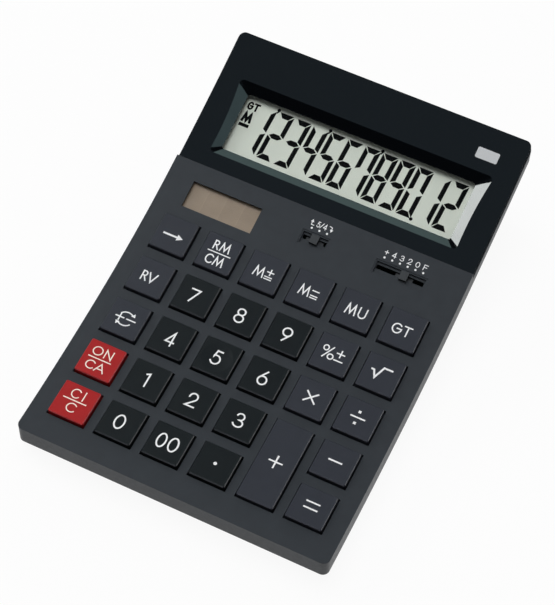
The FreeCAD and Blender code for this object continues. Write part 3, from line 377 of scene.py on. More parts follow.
def ribbon_film(name, base, copper, pitch=0.001, width=0.56, relief=0.00002):
    """Flat cable: parallel conductors showing through film, each as wide as a share of the pitch."""
    f = principled(name, Specular_IOR_Level=0.5)
    conductor = abs(f.place("X") / pitch % 1.0 - 0.5) < width / 2
    f.set(Base_Color=f.blend(conductor, base, copper),
          Roughness=f.spread(f.noise(size=0.003), 0.25, 0.4),
          Normal=f.bump(conductor, relief))
    return f.out()


def ink(name, base, rough=0.45, gloss=0.4):
    """Printed ink: even cover with a trace of screen mottle."""
    f = principled(name, Specular_IOR_Level=gloss)
    grain = f.noise(size=0.0003)
    f.set(Base_Color=f.tint(base, f.spread(grain, 0.96, 1.02)),
          Roughness=f.spread(grain, rough - 0.05, rough + 0.05))
    return f.out()


def cover(slot, material):
    """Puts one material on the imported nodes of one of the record's slots."""
    for part in frame["record"]["subparts"]:
        if part["material_slot"] == slot:
            materials = frame["nodes"][part["node"]].data.materials
            materials.clear()
            materials.append(material)


# ---- flat print


def arc(cx, cy, rx, ry, start, end):
    """Points on an ellipse from one angle to another, in degrees: centre plus radii times cosine and sine."""
    count = max(3, int(abs(end - start) / ARC_STEP) + 1)
    turn = np.radians(np.linspace(start, end, count))
    return np.column_stack([cx + rx * np.cos(turn), cy + ry * np.sin(turn)])


def joined(*parts):
    """Several runs of points as one path, without points that repeat the one before."""
    path = np.vstack([np.asarray(part, float).reshape(-1, 2) for part in parts])
    moved = np.linalg.norm(np.diff(path, axis=0), axis=1) > WELD
    return path[np.concatenate([[True], moved])]


def loop(cx, cy, rx, ry):
    """A whole ellipse, its last point on its first."""
    return arc(cx, cy, rx, ry, 0, 360)


SIX = [joined([(0.72, 1), (0.094, 0.481)]), loop(0.5, 0.303, 0.5, 0.303)]
# Each glyph is a list of pen paths in a box one unit wide and high.
GLYPHS = {
    "0": [loop(0.5, 0.5, 0.5, 0.5)],
    "1": [[(0, 0.9), (1, 1), (1, 0)]],
    "2": [joined([(0.04, 0.68)], arc(0.5, 0.715, 0.45, 0.285, 175, -38), [(0, 0), (1, 0)])],
    "3": [joined(arc(0.47, 0.755, 0.4, 0.245, 165, -90), arc(0.48, 0.262, 0.52, 0.262, 80, -160))],
    "4": [[(0.74, 0), (0.74, 1), (0, 0.26), (1, 0.26)]],
    "5": [joined([(0.9, 1), (0.32, 1), (0.17, 0.57)], arc(0.46, 0.335, 0.54, 0.335, 122, -150))],
    "6": SIX,
    "7": [[(0, 1), (1, 1), (0.22, 0)]],
    "8": [loop(0.5, 0.765, 0.41, 0.235), loop(0.5, 0.27, 0.5, 0.27)],
    "9": [1 - path for path in SIX],
    "A": [[(0, 0), (0.5, 1), (1, 0)], [(0.17, 0.32), (0.83, 0.32)]],
    "C": [arc(0.586, 0.5, 0.586, 0.5, 42, 318)],
    "F": [[(0, 0), (0, 1), (1, 1)], [(0, 0.52), (0.85, 0.52)]],
    "G": [joined(arc(0.5, 0.5, 0.5, 0.5, 45, 360), [(0.52, 0.5)])],
    "I": [[(0.5, 0), (0.5, 1)]],
    "M": [[(0, 0), (0.17, 1), (0.5, 0.1), (0.83, 1), (1, 0)]],
    "N": [[(0, 0), (0, 1), (1, 0), (1, 1)]],
    "O": [loop(0.5, 0.5, 0.5, 0.5)],
    "R": [joined([(0, 0), (0, 1), (0.42, 1)], arc(0.42, 0.75, 0.42, 0.25, 90, -90), [(0, 0.5)]),
          [(0.4, 0.5), (1, 0)]],
    "T": [[(0, 1), (1, 1)], [(0.5, 1), (0.5, 0)]],
    "U": [joined([(0, 1)], arc(0.5, 0.34, 0.5, 0.34, 180, 360), [(1, 1)])],
    "V": [[(0, 1), (0.5, 0), (1, 1)]],
    "+": [[(0, 0.5), (1, 0.5)], [(0.5, 0), (0.5, 1)]],
    "-": [[(0, 0.5), (1, 0.5)]],
    "/": [[(0, 0), (1, 1)]],
    "x": [[(0, 0), (1, 1)], [(0, 1), (1, 0)]],
    "%": [loop(0.2, 0.79, 0.2, 0.21), [(0.17, 0), (0.77, 1)], loop(0.78, 0.21, 0.22, 0.21)],
}


def strokes(path, pen):
    """Outlines of a pen drawn along a path: a rectangle on each run, and at each turn a kite on its outer
    side, whose tip lies half the pen over the cosine of half the turn from the path. Open ends are square."""
    half = pen / 2
    run = np.diff(path, axis=0)
    run /= np.linalg.norm(run, axis=1)[:, None]
    left = np.column_stack([-run[:, 1], run[:, 0]])
    start, end = path[:-1].copy(), path[1:].copy()
    if np.allclose(path[0], path[-1]):
        before, after, corner = run, np.roll(run, -1, axis=0), path[1:]
    else:
        before, after, corner = run[:-1], run[1:], path[1:-1]
        start[0] -= run[0] * half
        end[-1] += run[-1] * half
    bars = np.stack([start - left * half, end - left * half, end + left * half, start + left * half], axis=1)
    turn = before[:, 0] * after[:, 1] - before[:, 1] * after[:, 0]
    keep = np.abs(turn) > FLAT_TURN
    before, after, corner = before[keep], after[keep], corner[keep]
    outer = -np.sign(turn[keep])[:, None] * half
    first = np.column_stack([-before[:, 1], before[:, 0]])
    second = np.column_stack([-after[:, 1], after[:, 0]])
    middle = first + second
    middle /= np.linalg.norm(middle, axis=1)[:, None]
    cosine = np.maximum((middle * first).sum(1), SHARPEST_MITRE)[:, None]
    tip = corner + outer * middle / cosine
    kites = np.stack([corner, corner + outer * first, tip, corner + outer * second], axis=1)
    return list(bars) + list(kites)


def glyph(mark, x0, x1, y0, y1, pen):
    """A glyph's strokes, so that its outside edges fill the box."""
    low = np.array([x0, y0]) + pen / 2
    size = np.maximum(np.array([x1, y1]) - pen / 2 - low, 0)
    return [quad for path in GLYPHS[mark] for quad in strokes(low + np.asarray(path) * size, pen)]


def disc(x, y, radius):
    """A round dot."""
    return [arc(x, y, radius, radius, 0, 360)[:-1]]


def facing_up(outline):
    """The outline with its points anticlockwise, from the sign of the area under it."""
    x, y = outline[:, 0], outline[:, 1]
    area = (x * np.roll(y, -1) - np.roll(x, -1) * y).sum()
    return outline if area > 0 else outline[::-1]


def merged(outlines):
    """Overlapping outlines as one flat triangulation: points and triangles."""
    outlines = [facing_up(np.asarray(o, float)) for o in outlines]
    counts = np.cumsum([0] + [len(o) for o in outlines])
    faces = [list(range(a, b)) for a, b in zip(counts[:-1].tolist(), counts[1:].tolist())]
    points = [Vector(p) for p in np.vstack(outlines).tolist()]
    flat, _, triangles, _, _, origin = geometry.delaunay_2d_cdt(points, [], faces, 0, WELD)
    kept = np.array([t for t, source in zip(triangles, origin) if source], int)
    used, kept = np.unique(kept, return_inverse=True)
    return np.array([tuple(p) for p in flat])[used], kept.reshape(-1, 3)


def printed(name, outlines, spot, material, body, drop=None):
    """A thin closed plate of print: the merged outlines at a top and a bottom height over the spot's plane,
    joined by a wall along each edge that only one triangle has. drop lowers the points over a dish."""
    flat, triangles = merged(outlines)
    count = len(flat)
    low = np.zeros(count) if drop is None else drop(flat)
    point = np.vstack([spot.at(flat, PRINT_TOP - low), spot.at(flat, -PRINT_SUNK - low)])
    edges = np.vstack([triangles[:, [0, 1]], triangles[:, [1, 2]], triangles[:, [2, 0]]])
    code, reverse = edges[:, 0] * count + edges[:, 1], edges[:, 1] * count + edges[:, 0]
    rim = edges[~np.isin(code, reverse)]
    wall = np.column_stack([rim[:, 0] + count, rim[:, 1] + count, rim[:, 1], rim[:, 0]])
    faces = triangles.tolist() + (triangles[:, ::-1] + count).tolist() + wall.tolist()
    mesh = bpy.data.meshes.new(name)
    mesh.from_pydata(point.tolist(), [], faces)
    mesh.materials.append(material)
    piece = bpy.data.objects.new(name, mesh)
    bpy.context.scene.collection.objects.link(piece)
    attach(piece, body)


class Spot:
    """A place on a face: its centre, and the directions across, along and out of it."""

    def __init__(self, centre, normal):
        self.centre, self.out = np.array(centre, float), np.array(normal, float)
        self.out /= np.linalg.norm(self.out)
        across = np.array([1.0, 0, 0]) - self.out * self.out[0]
        self.across = across / np.linalg.norm(across)
        self.along = np.cross(self.out, self.across)

    def at(self, flat, height):
        """Flat points in mm, at a height in mm above the face, as points in metres."""
        place = flat[:, :1] * self.across + flat[:, 1:] * self.along + height[:, None] * self.out
        return self.centre + MM * place


def face_of(node):
    """The spot at the middle of a node's largest flat face that looks up: triangles are grouped by their
    normal and their distance from the origin, and the group with the most area gives the plane."""
    mesh = frame["nodes"][node].data
    mesh.calc_loop_triangles()
    corner = np.empty(len(mesh.loop_triangles) * 3, np.int32)
    mesh.loop_triangles.foreach_get("vertices", corner)
    place = np.empty(len(mesh.vertices) * 3)
    mesh.vertices.foreach_get("co", place)
    tri = place.reshape(-1, 3)[corner].reshape(-1, 3, 3)
    cross = np.cross(tri[:, 1] - tri[:, 0], tri[:, 2] - tri[:, 0])
    area = np.linalg.norm(cross, axis=1)
    real = area > LEAST_AREA
    tri, normal, area = tri[real], cross[real] / area[real, None], area[real]
    upward = normal[:, 2] > UPWARD
    tri, normal, area = tri[upward], normal[upward], area[upward]
    key = np.column_stack([normal.round(3), (normal * tri[:, 0]).sum(1).round(5)[:, None]])
    _, group = np.unique(key, axis=0, return_inverse=True)
    group = group.ravel()
    flat = group == np.bincount(group, area).argmax()
    spot = Spot(tri[flat].reshape(-1, 3).mean(0), normal[flat].mean(0))
    offset = tri[flat].reshape(-1, 3) - spot.centre
    for axis in (spot.across, spot.along):
        reach = offset @ axis
        spot.centre += axis * (reach.min() + reach.max()) / 2
    return spot


def landed(node, x, y):
    """The spot where a plumb line at x, y meets a node from above."""
    bpy.context.view_layer.update()
    above = Vector((x, y, PACKED_BOX[1].z + 0.01))
    hit, place, normal, _ = frame["nodes"][node].ray_cast(above, Vector((0, 0, -1)))
    if not hit:
        raise RuntimeError(f"no face of {node} lies under {x:.4f}, {y:.4f}")
    return Spot(place, normal)


# ---- legends, in mm from each key top's middle


# Marks are placed by the box x0, x1, y0, y1 that their outside edges fill.
ARROW_PEN, MINUS_PEN, DIVIDE_PEN, EQUALS_PEN = 0.72, 0.62, 0.6, 0.58
SIGN_PEN, SMALL_PLUS_PEN, UPPER_BAR_PEN, LOWER_BAR_PEN, RULE_PEN = 0.5, 0.48, 0.46, 0.44, 0.42
DIVIDE_DOT = 0.5        # half the side of a square dot
POINT_RADIUS = 0.64
WARM_PRINT = "on_clear_all", "clear_entry"


def single(mark, x0, x1, y0, y1):
    """A one-mark legend."""
    return lambda s: glyph(mark, x0, x1, y0, y1, s.legend_pen)


def level(x0, x1, y, pen):
    """A level stroke."""
    return glyph("-", x0, x1, y - pen / 2, y + pen / 2, pen)


def row(letters, pen):
    """Several marks, each with its own box."""
    return [quad for mark, *box in letters for quad in glyph(mark, *box, pen)]


def word(letters, pen):
    """Letters in one line, drawn with one of the named pens."""
    return lambda s: row(letters, getattr(s, pen))


def over(letters, pen, rule):
    """Letters in two lines with a rule between them, given as x0, x1 and y."""
    return lambda s: row(letters, getattr(s, pen)) + level(*rule, RULE_PEN)


def backspace(s):
    """An arrow to the right: a level stroke and a triangle."""
    return level(-4.0, 2.2, -0.15, ARROW_PEN) + [[(1.5, -1.4), (3.8, -0.15), (1.5, 1.1)]]


def memory_plus_minus(s):
    """M, and a plus over two bars."""
    return (glyph("M", -3.8, 0.3, -2.0, 2.1, s.fine_pen) + glyph("+", 0.9, 3.7, -0.2, 2.4, SMALL_PLUS_PEN)
            + level(0.7, 3.7, -0.85, LOWER_BAR_PEN) + level(0.7, 3.7, -1.72, LOWER_BAR_PEN))


def memory_total(s):
    """M, and a bar over two bars."""
    return (glyph("M", -3.9, 0.2, -2.0, 2.1, s.fine_pen) + level(0.7, 3.5, 1.1, UPPER_BAR_PEN)
            + level(0.7, 3.5, -0.85, LOWER_BAR_PEN) + level(0.7, 3.5, -1.72, LOWER_BAR_PEN))


def percent(s):
    """A percent sign, and a plus over a minus."""
    return (glyph("%", -4.5, 0.5, -2.3, 2.9, s.fine_pen) + glyph("+", 0.8, 4.0, -0.3, 2.7, SIGN_PEN)
            + level(0.7, 4.2, -1.6, SIGN_PEN))


def square_root(s):
    """A root sign as one pen path."""
    path = np.array([(-3.6, 1.0), (-2.85, 1.0), (-1.6, -1.7), (0.25, 2.85), (3.25, 2.85)])
    return strokes(path, s.root_pen)


def sign_change(s):
    """Plus and minus between two curved arrows, each an arc of 3 by 2.7 mm radius that ends in a triangle."""
    upper, lower = arc(-0.1, 0, 3.0, 2.7, 142, 52), arc(-0.1, 0, 3.0, 2.7, 322, 232)
    return (strokes(upper, s.fine_pen) + strokes(lower, s.fine_pen)
            + [[(1.25, 1.75), (2.9, 1.6), (2.4, 3.1)], [(-1.45, -1.75), (-3.1, -1.6), (-2.6, -3.1)]]
            + glyph("+", -4.1, -0.6, -1.5, 1.7, SIGN_PEN) + level(0.2, 3.9, 0.1, SIGN_PEN))


def divide(s):
    """A level stroke between two square dots."""
    square = DIVIDE_DOT * np.array([(-1, -1), (1, -1), (1, 1), (-1, 1)])
    return level(-3.0, 2.6, 0.2, DIVIDE_PEN) + [square + (-0.4, y) for y in (2.45, -2.1)]


LEGENDS = {
    "backspace": backspace,
    "memory_recall": over([
        ("R", -3.2, -1.0, 1.3, 5.0), ("M", -0.6, 3.3, 1.3, 5.0), ("C", -3.8, -0.9, -4.6, -0.8),
        ("M", -0.5, 3.3, -4.6, -0.8)], "fine_pen", (-4.4, 4.6, 0.35)),
    "memory_plus_minus": memory_plus_minus,
    "memory_total": memory_total,
    "mark_up": word([("M", -3.8, 0.3, -2, 2.3), ("U", 1.0, 4.1, -2, 2.3)], "word_pen"),
    "grand_total": word([("G", -4.0, -0.2, -1.9, 2.2), ("T", 0.1, 3.3, -1.9, 2.2)], "word_pen"),
    "reverse": word([("R", -3.3, -0.9, -2, 2.1), ("V", -0.9, 2.6, -2, 2.1)], "word_pen"),
    "seven": single("7", -2.4, 1.4, -2.7, 2.9),
    "eight": single("8", -2.1, 1.8, -3.0, 3.0),
    "nine": single("9", -2.1, 1.8, -2.8, 3.1),
    "percent": percent,
    "square_root": square_root,
    "sign_change": sign_change,
    "four": single("4", -1.8, 1.9, -3.2, 2.7),
    "five": single("5", -2.2, 1.6, -2.7, 3.1),
    "six": single("6", -2.0, 1.8, -3.0, 3.0),
    "multiply": single("x", -2.3, 2.3, -1.9, 2.5),
    "divide": divide,
    "on_clear_all": over([
        ("O", -4.5, -0.6, 1.1, 4.8), ("N", 0.2, 3.2, 1.1, 4.8), ("C", -4.3, -1.0, -4.7, -1.1),
        ("A", -0.6, 3.2, -4.7, -1.1)], "red_pen", (-4.9, 4.0, 0.1)),
    "one": single("1", -1.1, 0.6, -2.8, 3.0),
    "two": single("2", -2.1, 1.7, -2.8, 3.0),
    "three": single("3", -2.1, 1.8, -2.9, 3.0),
    "minus": lambda s: level(-2.6, 2.5, 0.3, MINUS_PEN),
    "clear_entry": over([
        ("C", -2.9, 0.4, 1.2, 5.1), ("I", 1.8, 2.4, 1.2, 5.1), ("C", -1.9, 1.6, -4.4, -0.6)],
        "red_pen", (-4.7, 4.3, 0.4)),
    "zero": single("0", -2.5, 1.5, -3.0, 3.0),
    "double_zero": word([("0", -4.2, -0.6, -2.9, 3.1), ("0", 0.2, 4.0, -2.9, 3.1)], "legend_pen"),
    "decimal_point": lambda s: disc(-0.05, 0.15, POINT_RADIUS),
    "plus": single("+", -2.6, 2.6, -2.2, 3.0),
    "equals": lambda s: level(-2.6, 2.6, 1.5, EQUALS_PEN) + level(-2.6, 2.6, -0.95, EQUALS_PEN),
}
DISH_RADIUS, DISH_DEPTH = 5.6, 0.3    # mm, the finger dish of the middle key


def dish(flat):
    """How far a finger dish lies below its key top: a sphere cut by the top. At a distance r from the middle
    that is the root of R squared less r squared, less R less the depth, with R the sphere's radius."""
    ball = (DISH_RADIUS ** 2 + DISH_DEPTH ** 2) / (2 * DISH_DEPTH)
    away = np.minimum(np.linalg.norm(flat, axis=1), DISH_RADIUS)
    return np.sqrt(ball ** 2 - away ** 2) - (ball - DISH_DEPTH)


# ---- display figures


SEGMENTS = {"1": "bc", "2": "abged", "3": "abgcd", "4": "fgbc", "5": "afgcd", "6": "afgedc", "7": "abcf",
            "8": "abcdefg", "9": "abcdfg", "0": "abcdef"}
SHOWN = "123456789012"
FIRST_RIGHT_BAR = -34.8      # mm from the display's middle to the first figure's right bars
FIGURE_BASE = -8.95          # mm below the display's middle
LEAN = np.tan(np.radians(2.6))
COMMA_X, COMMA_Y, COMMA_RADIUS = (-33.1, -12.1, 8.9), 11.0, 0.66
POINT_X, POINT_Y, SHOWN_POINT_RADIUS = 28.9, -9.0, 0.68
TOTAL_PEN, MEMORY_PEN, MEMORY_BAR = 0.74, 1.0, 1.3


def segment_outlines(s):
    """The seven segments of a figure whose lower left corner is the origin. Upright bars are cut along the
    line from outer to inner corner, level bars are trapeziums and the middle one has pointed ends. Corners
    are set back by shares of the gap, which leaves a clear line between neighbours."""
    w, h, bar, lvl, gap = s.figure_width, s.figure_height, s.bar_width, s.bar_height, s.segment_gap
    mid, half = h / 2, lvl / 2
    top = np.array([(1.3 * gap, h), (bar + 0.4 * gap, h - lvl),
                    (w - bar - 0.4 * gap, h - lvl), (w - 1.3 * gap, h)])
    upper = np.array([(0, mid + 0.9 * gap), (bar, mid + half + gap),
                      (bar, h - lvl - 0.8 * gap), (0, h - 1.6 * gap)])
    across, flip = np.array([w, 0]), np.array([-1, 1])
    under, mirror = np.array([0, h]), np.array([1, -1])
    inner = bar + 0.7 * gap
    middle = np.array([(2.2 * gap, mid), (inner, mid - half), (w - inner, mid - half),
                       (w - 2.2 * gap, mid), (w - inner, mid + half), (inner, mid + half)])
    right = across + upper * flip
    return {"a": top, "d": under + top * mirror, "g": middle, "f": upper, "b": right,
            "e": under + upper * mirror, "c": under + right * mirror}


def leaning(outline):
    """The outline slanted to the right about the display's middle."""
    outline = np.asarray(outline, float)
    return np.column_stack([outline[:, 0] + outline[:, 1] * LEAN, outline[:, 1]])


def comma(x, y):
    """A mark of thousands: a dot with a tail."""
    return disc(x, y, COMMA_RADIUS) + [
        [(x + COMMA_RADIUS, y - 0.1), (x - 0.1, y - 1.5), (x - 0.5, y - 1.3), (x - 0.1, y - 0.1)]]


def display_outlines(s):
    """All dark parts of the display: twelve figures, three marks of thousands, the point and two signs."""
    shapes = segment_outlines(s)
    left = FIRST_RIGHT_BAR + s.bar_width / 2 - s.figure_width
    made = []
    for place, digit in enumerate(SHOWN):
        corner = np.array([left + place * s.figure_pitch, FIGURE_BASE])
        made += [leaning(corner + shapes[segment]) for segment in SEGMENTS[digit]]
    for x in COMMA_X:
        made += comma(x, COMMA_Y)
    made += disc(POINT_X, POINT_Y, SHOWN_POINT_RADIUS)
    made += row([("G", -44.9, -42.5, 7.0, 10.3), ("T", -42.5, -40.1, 7.0, 10.3)], TOTAL_PEN)
    made += glyph("M", -44.9, -40.9, 1.9, 5.8, MEMORY_PEN) + level(-44.9, -40.9, 0.65, MEMORY_BAR)
    return made


# ---- switch scales


DECIMAL_SIGNS = "+4320F"
SIGN_REACH = 0.8, 1.1           # half the width and height of a sign of the decimal scale
PLUS_REACH = 0.85               # half the height of its plus
ROUNDING_REACH = 1.15           # half the height of a figure of the rounding scale


def decimal_marks(s):
    """Signs over the decimal switch: one for each of its positions."""
    made = []
    for place, mark in enumerate(DECIMAL_SIGNS):
        x = (place - (len(DECIMAL_SIGNS) - 1) / 2) * s.scale_step
        wide, tall = SIGN_REACH[0], PLUS_REACH if mark == "+" else SIGN_REACH[1]
        made += glyph(mark, x - wide, x + wide, -tall, tall, s.scale_pen)
    return made


def rounding_marks(s):
    """Round up, 5/4 and round down over the rounding switch: bent arrows with triangles as heads."""
    tall = ROUNDING_REACH
    up = np.array([(-3.75, 0.2), (-3.75, -0.95), (-2.75, -0.95)])
    down = np.array([(2.9, 0.95), (3.85, 0.75), (3.95, -0.1)])
    up_head, down_head = [(-4.4, 0.1), (-3.1, 0.1), (-3.75, 1.2)], [(3.3, -0.1), (4.6, -0.1), (3.95, -1.2)]
    figures = [("5", -1.85, -0.6, -tall, tall), ("/", -0.55, 0.65, -tall, tall), ("4", 0.7, 2.1, -tall, tall)]
    return (strokes(up, s.scale_pen) + [up_head] + strokes(down, s.scale_pen) + [down_head]
            + row(figures, s.scale_pen))


def dots(s, count):
    """A row of dots, one switch step apart, centred."""
    return [d for k in range(count) for d in disc((k - (count - 1) / 2) * s.scale_step, 0, s.scale_dot)]


ROUNDING_X, DECIMAL_X = 1.75, 34.85     # mm, middle of each scale
ROUNDING_STEPS = 3
SIGNS_DOWN, DOTS_DOWN = 4.52, 6.57      # mm from the panel's seam towards the user
BADGE_X, BADGE_UP = 45.2, 41.95         # mm, middle of the badge, and from the seam away from the user
BADGE_CORNER = 0.5                      # mm
SOLAR_STRIPS = 4


# ---- operators


class Finisher(bpy.types.Operator):
    """Shared access to the settings."""

    bl_options = {"REGISTER"}

    @property
    def colours(self):
        return bpy.context.scene.calculator_colours

    @property
    def sizes(self):
        return bpy.context.scene.calculator_sizes


class FinishCase(Finisher):
    """Deck, gloss panel, base and feet."""

    bl_idname = "calculator.finish_case"
    bl_label = "Case"

    def execute(self, context):
        c = self.colours
        cover("charcoal_case", moulded("deck_plastic", c.deck, rough=0.42))
        cover("dark_base", moulded("base_plastic", c.base, rough=0.5, grain=0.0003))
        cover("gloss_panel", polished("panel_plastic", c.panel))
        cover("foot_rubber", rubber("foot_rubber", shade(42, 42, 44)))
        return {"FINISHED"}


class FinishKeys(Finisher):
    """Function, number and red keys, and the switch tabs."""

    bl_idname = "calculator.finish_keys"
    bl_label = "Keys and switches"

    def execute(self, context):
        c = self.colours
        cover("function_key", moulded("function_key_plastic", c.function_key, rough=0.4, mottle=0.05))
        cover("number_key", moulded("number_key_plastic", c.number_key, rough=0.38, mottle=0.05))
        cover("red_key", moulded("red_key_plastic", c.red_key, rough=0.4, mottle=0.05))
        cover("switch_plastic", moulded("switch_plastic", c.switch, rough=0.45))
        return {"FINISHED"}


class PrintLegends(Finisher):
    """The print on every key, riding on its key."""

    bl_idname = "calculator.print_legends"
    bl_label = "Key legends"

    def execute(self, context):
        white = ink("legend_ink", self.colours.ink)
        warm = ink("warm_legend_ink", self.colours.warm_ink)
        spots = {name: face_of("key_" + name) for name in LEGENDS}
        front, back = spots["zero"].centre[1], spots["backspace"].centre[1]
        for name, marks in LEGENDS.items():
            up_field = (spots[name].centre[1] - front) / (back - front)
            spots[name].centre -= spots[name].along * self.sizes.legend_lowered * MM * up_field ** 2
            film = warm if name in WARM_PRINT else white
            printed("legend_" + name, marks(self.sizes), spots[name], film, "key_" + name,
                    drop=dish if name == "five" else None)
        return {"FINISHED"}


class FinishDisplay(Finisher):
    """Display glass, reflector, window and frame, and the figures shown."""

    bl_idname = "calculator.finish_display"
    bl_label = "Display"

    def execute(self, context):
        c = self.colours
        cover("lcd_glass", display_glass("display_film", c.display))
        cover("reflector", metal("reflector_film", shade(215, 216, 210), 0.45))
        cover("frame_plastic", moulded("frame_plastic", shade(40, 42, 44), rough=0.5))
        cover("zebra_rubber", rubber("zebra_rubber", shade(196, 120, 130)))
        cover("clear_window", clear("window_plastic", shade(24, 28, 28), 0.04))
        figures = ink("figure_ink", c.figure, rough=0.6, gloss=0.1)
        printed("display_figures", display_outlines(self.sizes), face_of("lcd_glass"), figures, "case")
        return {"FINISHED"}


class PrintScales(Finisher):
    """Signs and dots over the two slide switches."""

    bl_idname = "calculator.print_scales"
    bl_label = "Switch scales"

    def execute(self, context):
        s, white = self.sizes, ink("scale_ink", self.colours.ink)
        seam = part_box("display_panel")[0].y
        for name, x, marks, count in (("rounding", ROUNDING_X, rounding_marks(s), ROUNDING_STEPS),
                                      ("decimal", DECIMAL_X, decimal_marks(s), len(DECIMAL_SIGNS))):
            signs = landed("upper_housing", x * MM, seam - SIGNS_DOWN * MM)
            spots = landed("upper_housing", x * MM, seam - DOTS_DOWN * MM)
            printed(name + "_signs", marks, signs, white, "case")
            printed(name + "_dots", dots(s, count), spots, white, "case")
        return {"FINISHED"}


class FinishSolarCell(Finisher):
    """Solar cell with its strips."""

    bl_idname = "calculator.finish_solar_cell"
    bl_label = "Solar cell"

    def execute(self, context):
        low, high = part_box("solar_cell")
        cover("solar_cell", solar("solar_cell", self.colours.cell, SOLAR_STRIPS, low.x, high.x))
        return {"FINISHED"}


class AddBadge(Finisher):
    """A bare patch with rounded corners on the panel."""

    bl_idname = "calculator.add_badge"
    bl_label = "Badge patch"

    def execute(self, context):
        s = self.sizes
        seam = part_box("display_panel")[0].y
        spot = landed("display_panel", BADGE_X * MM, seam + BADGE_UP * MM)
        w, h, r = s.badge_width / 2, s.badge_height / 2, BADGE_CORNER
        outline = joined(arc(w - r, h - r, r, r, 0, 90), arc(r - w, h - r, r, r, 90, 180),
                         arc(r - w, r - h, r, r, 180, 270), arc(w - r, r - h, r, r, 270, 360))
        printed("badge_patch", [outline], spot, ink("badge_film", self.colours.badge, rough=0.35), "case")
        return {"FINISHED"}


class FinishInside(Finisher):
    """Boards, cable, chip, rubber mat, contacts, cell and screws."""

    bl_idname = "calculator.finish_inside"
    bl_label = "Inside parts"

    def execute(self, context):
        cover("board_laminate", laminate("board_laminate", shade(38, 92, 58)))
        cover("capacitor_sleeve", moulded("capacitor_sleeve", shade(30, 34, 60), rough=0.3))
        cover("chip_resin", moulded("chip_resin", shade(30, 30, 32), rough=0.55))
        cover("ribbon_film", ribbon_film("ribbon_film", shade(198, 140, 74), shade(176, 112, 60)))
        cover("keypad_rubber", rubber("keypad_rubber", shade(150, 152, 154)))
        cover("contact_metal", metal("contact_metal", shade(214, 206, 180), 0.3))
        cover("cell_steel", metal("cell_steel", shade(206, 208, 210), 0.22))
        cover("screw_steel", metal("screw_steel", shade(178, 180, 184), 0.3, stretch=(6, 6, 1)))
        return {"FINISHED"}


SENSOR_WIDTH = 36.0                     # mm
NEAREST, FARTHEST = 0.01, 20.0          # m that the camera sees
FLOOR_REACH, FLOOR_DROP = 4.0, 0.00005  # m from the middle to an edge, and below the feet
FLOOR_GLOW = 0.93                       # how much of the floor is plain white where it is seen
FAR_SIDE = -0.5, 0.86, 0                # level direction of the sky's brightest side
SIDE_TURN = 0.6                         # how far along it the sky changes from its near to its far level
RING_RISE, RING_FALL = (0.1, 0.5), (0.4, 0.75)  # heights in which the ring of light begins and ends
FRONT_SHARE = 0.74                      # of the edge lights' power, for the front one
BEVEL_IN, BEVEL_UP, BEVEL_RISE = 0.0105, 0.008, 0.0025      # m, from the panel's edges to its window bevels


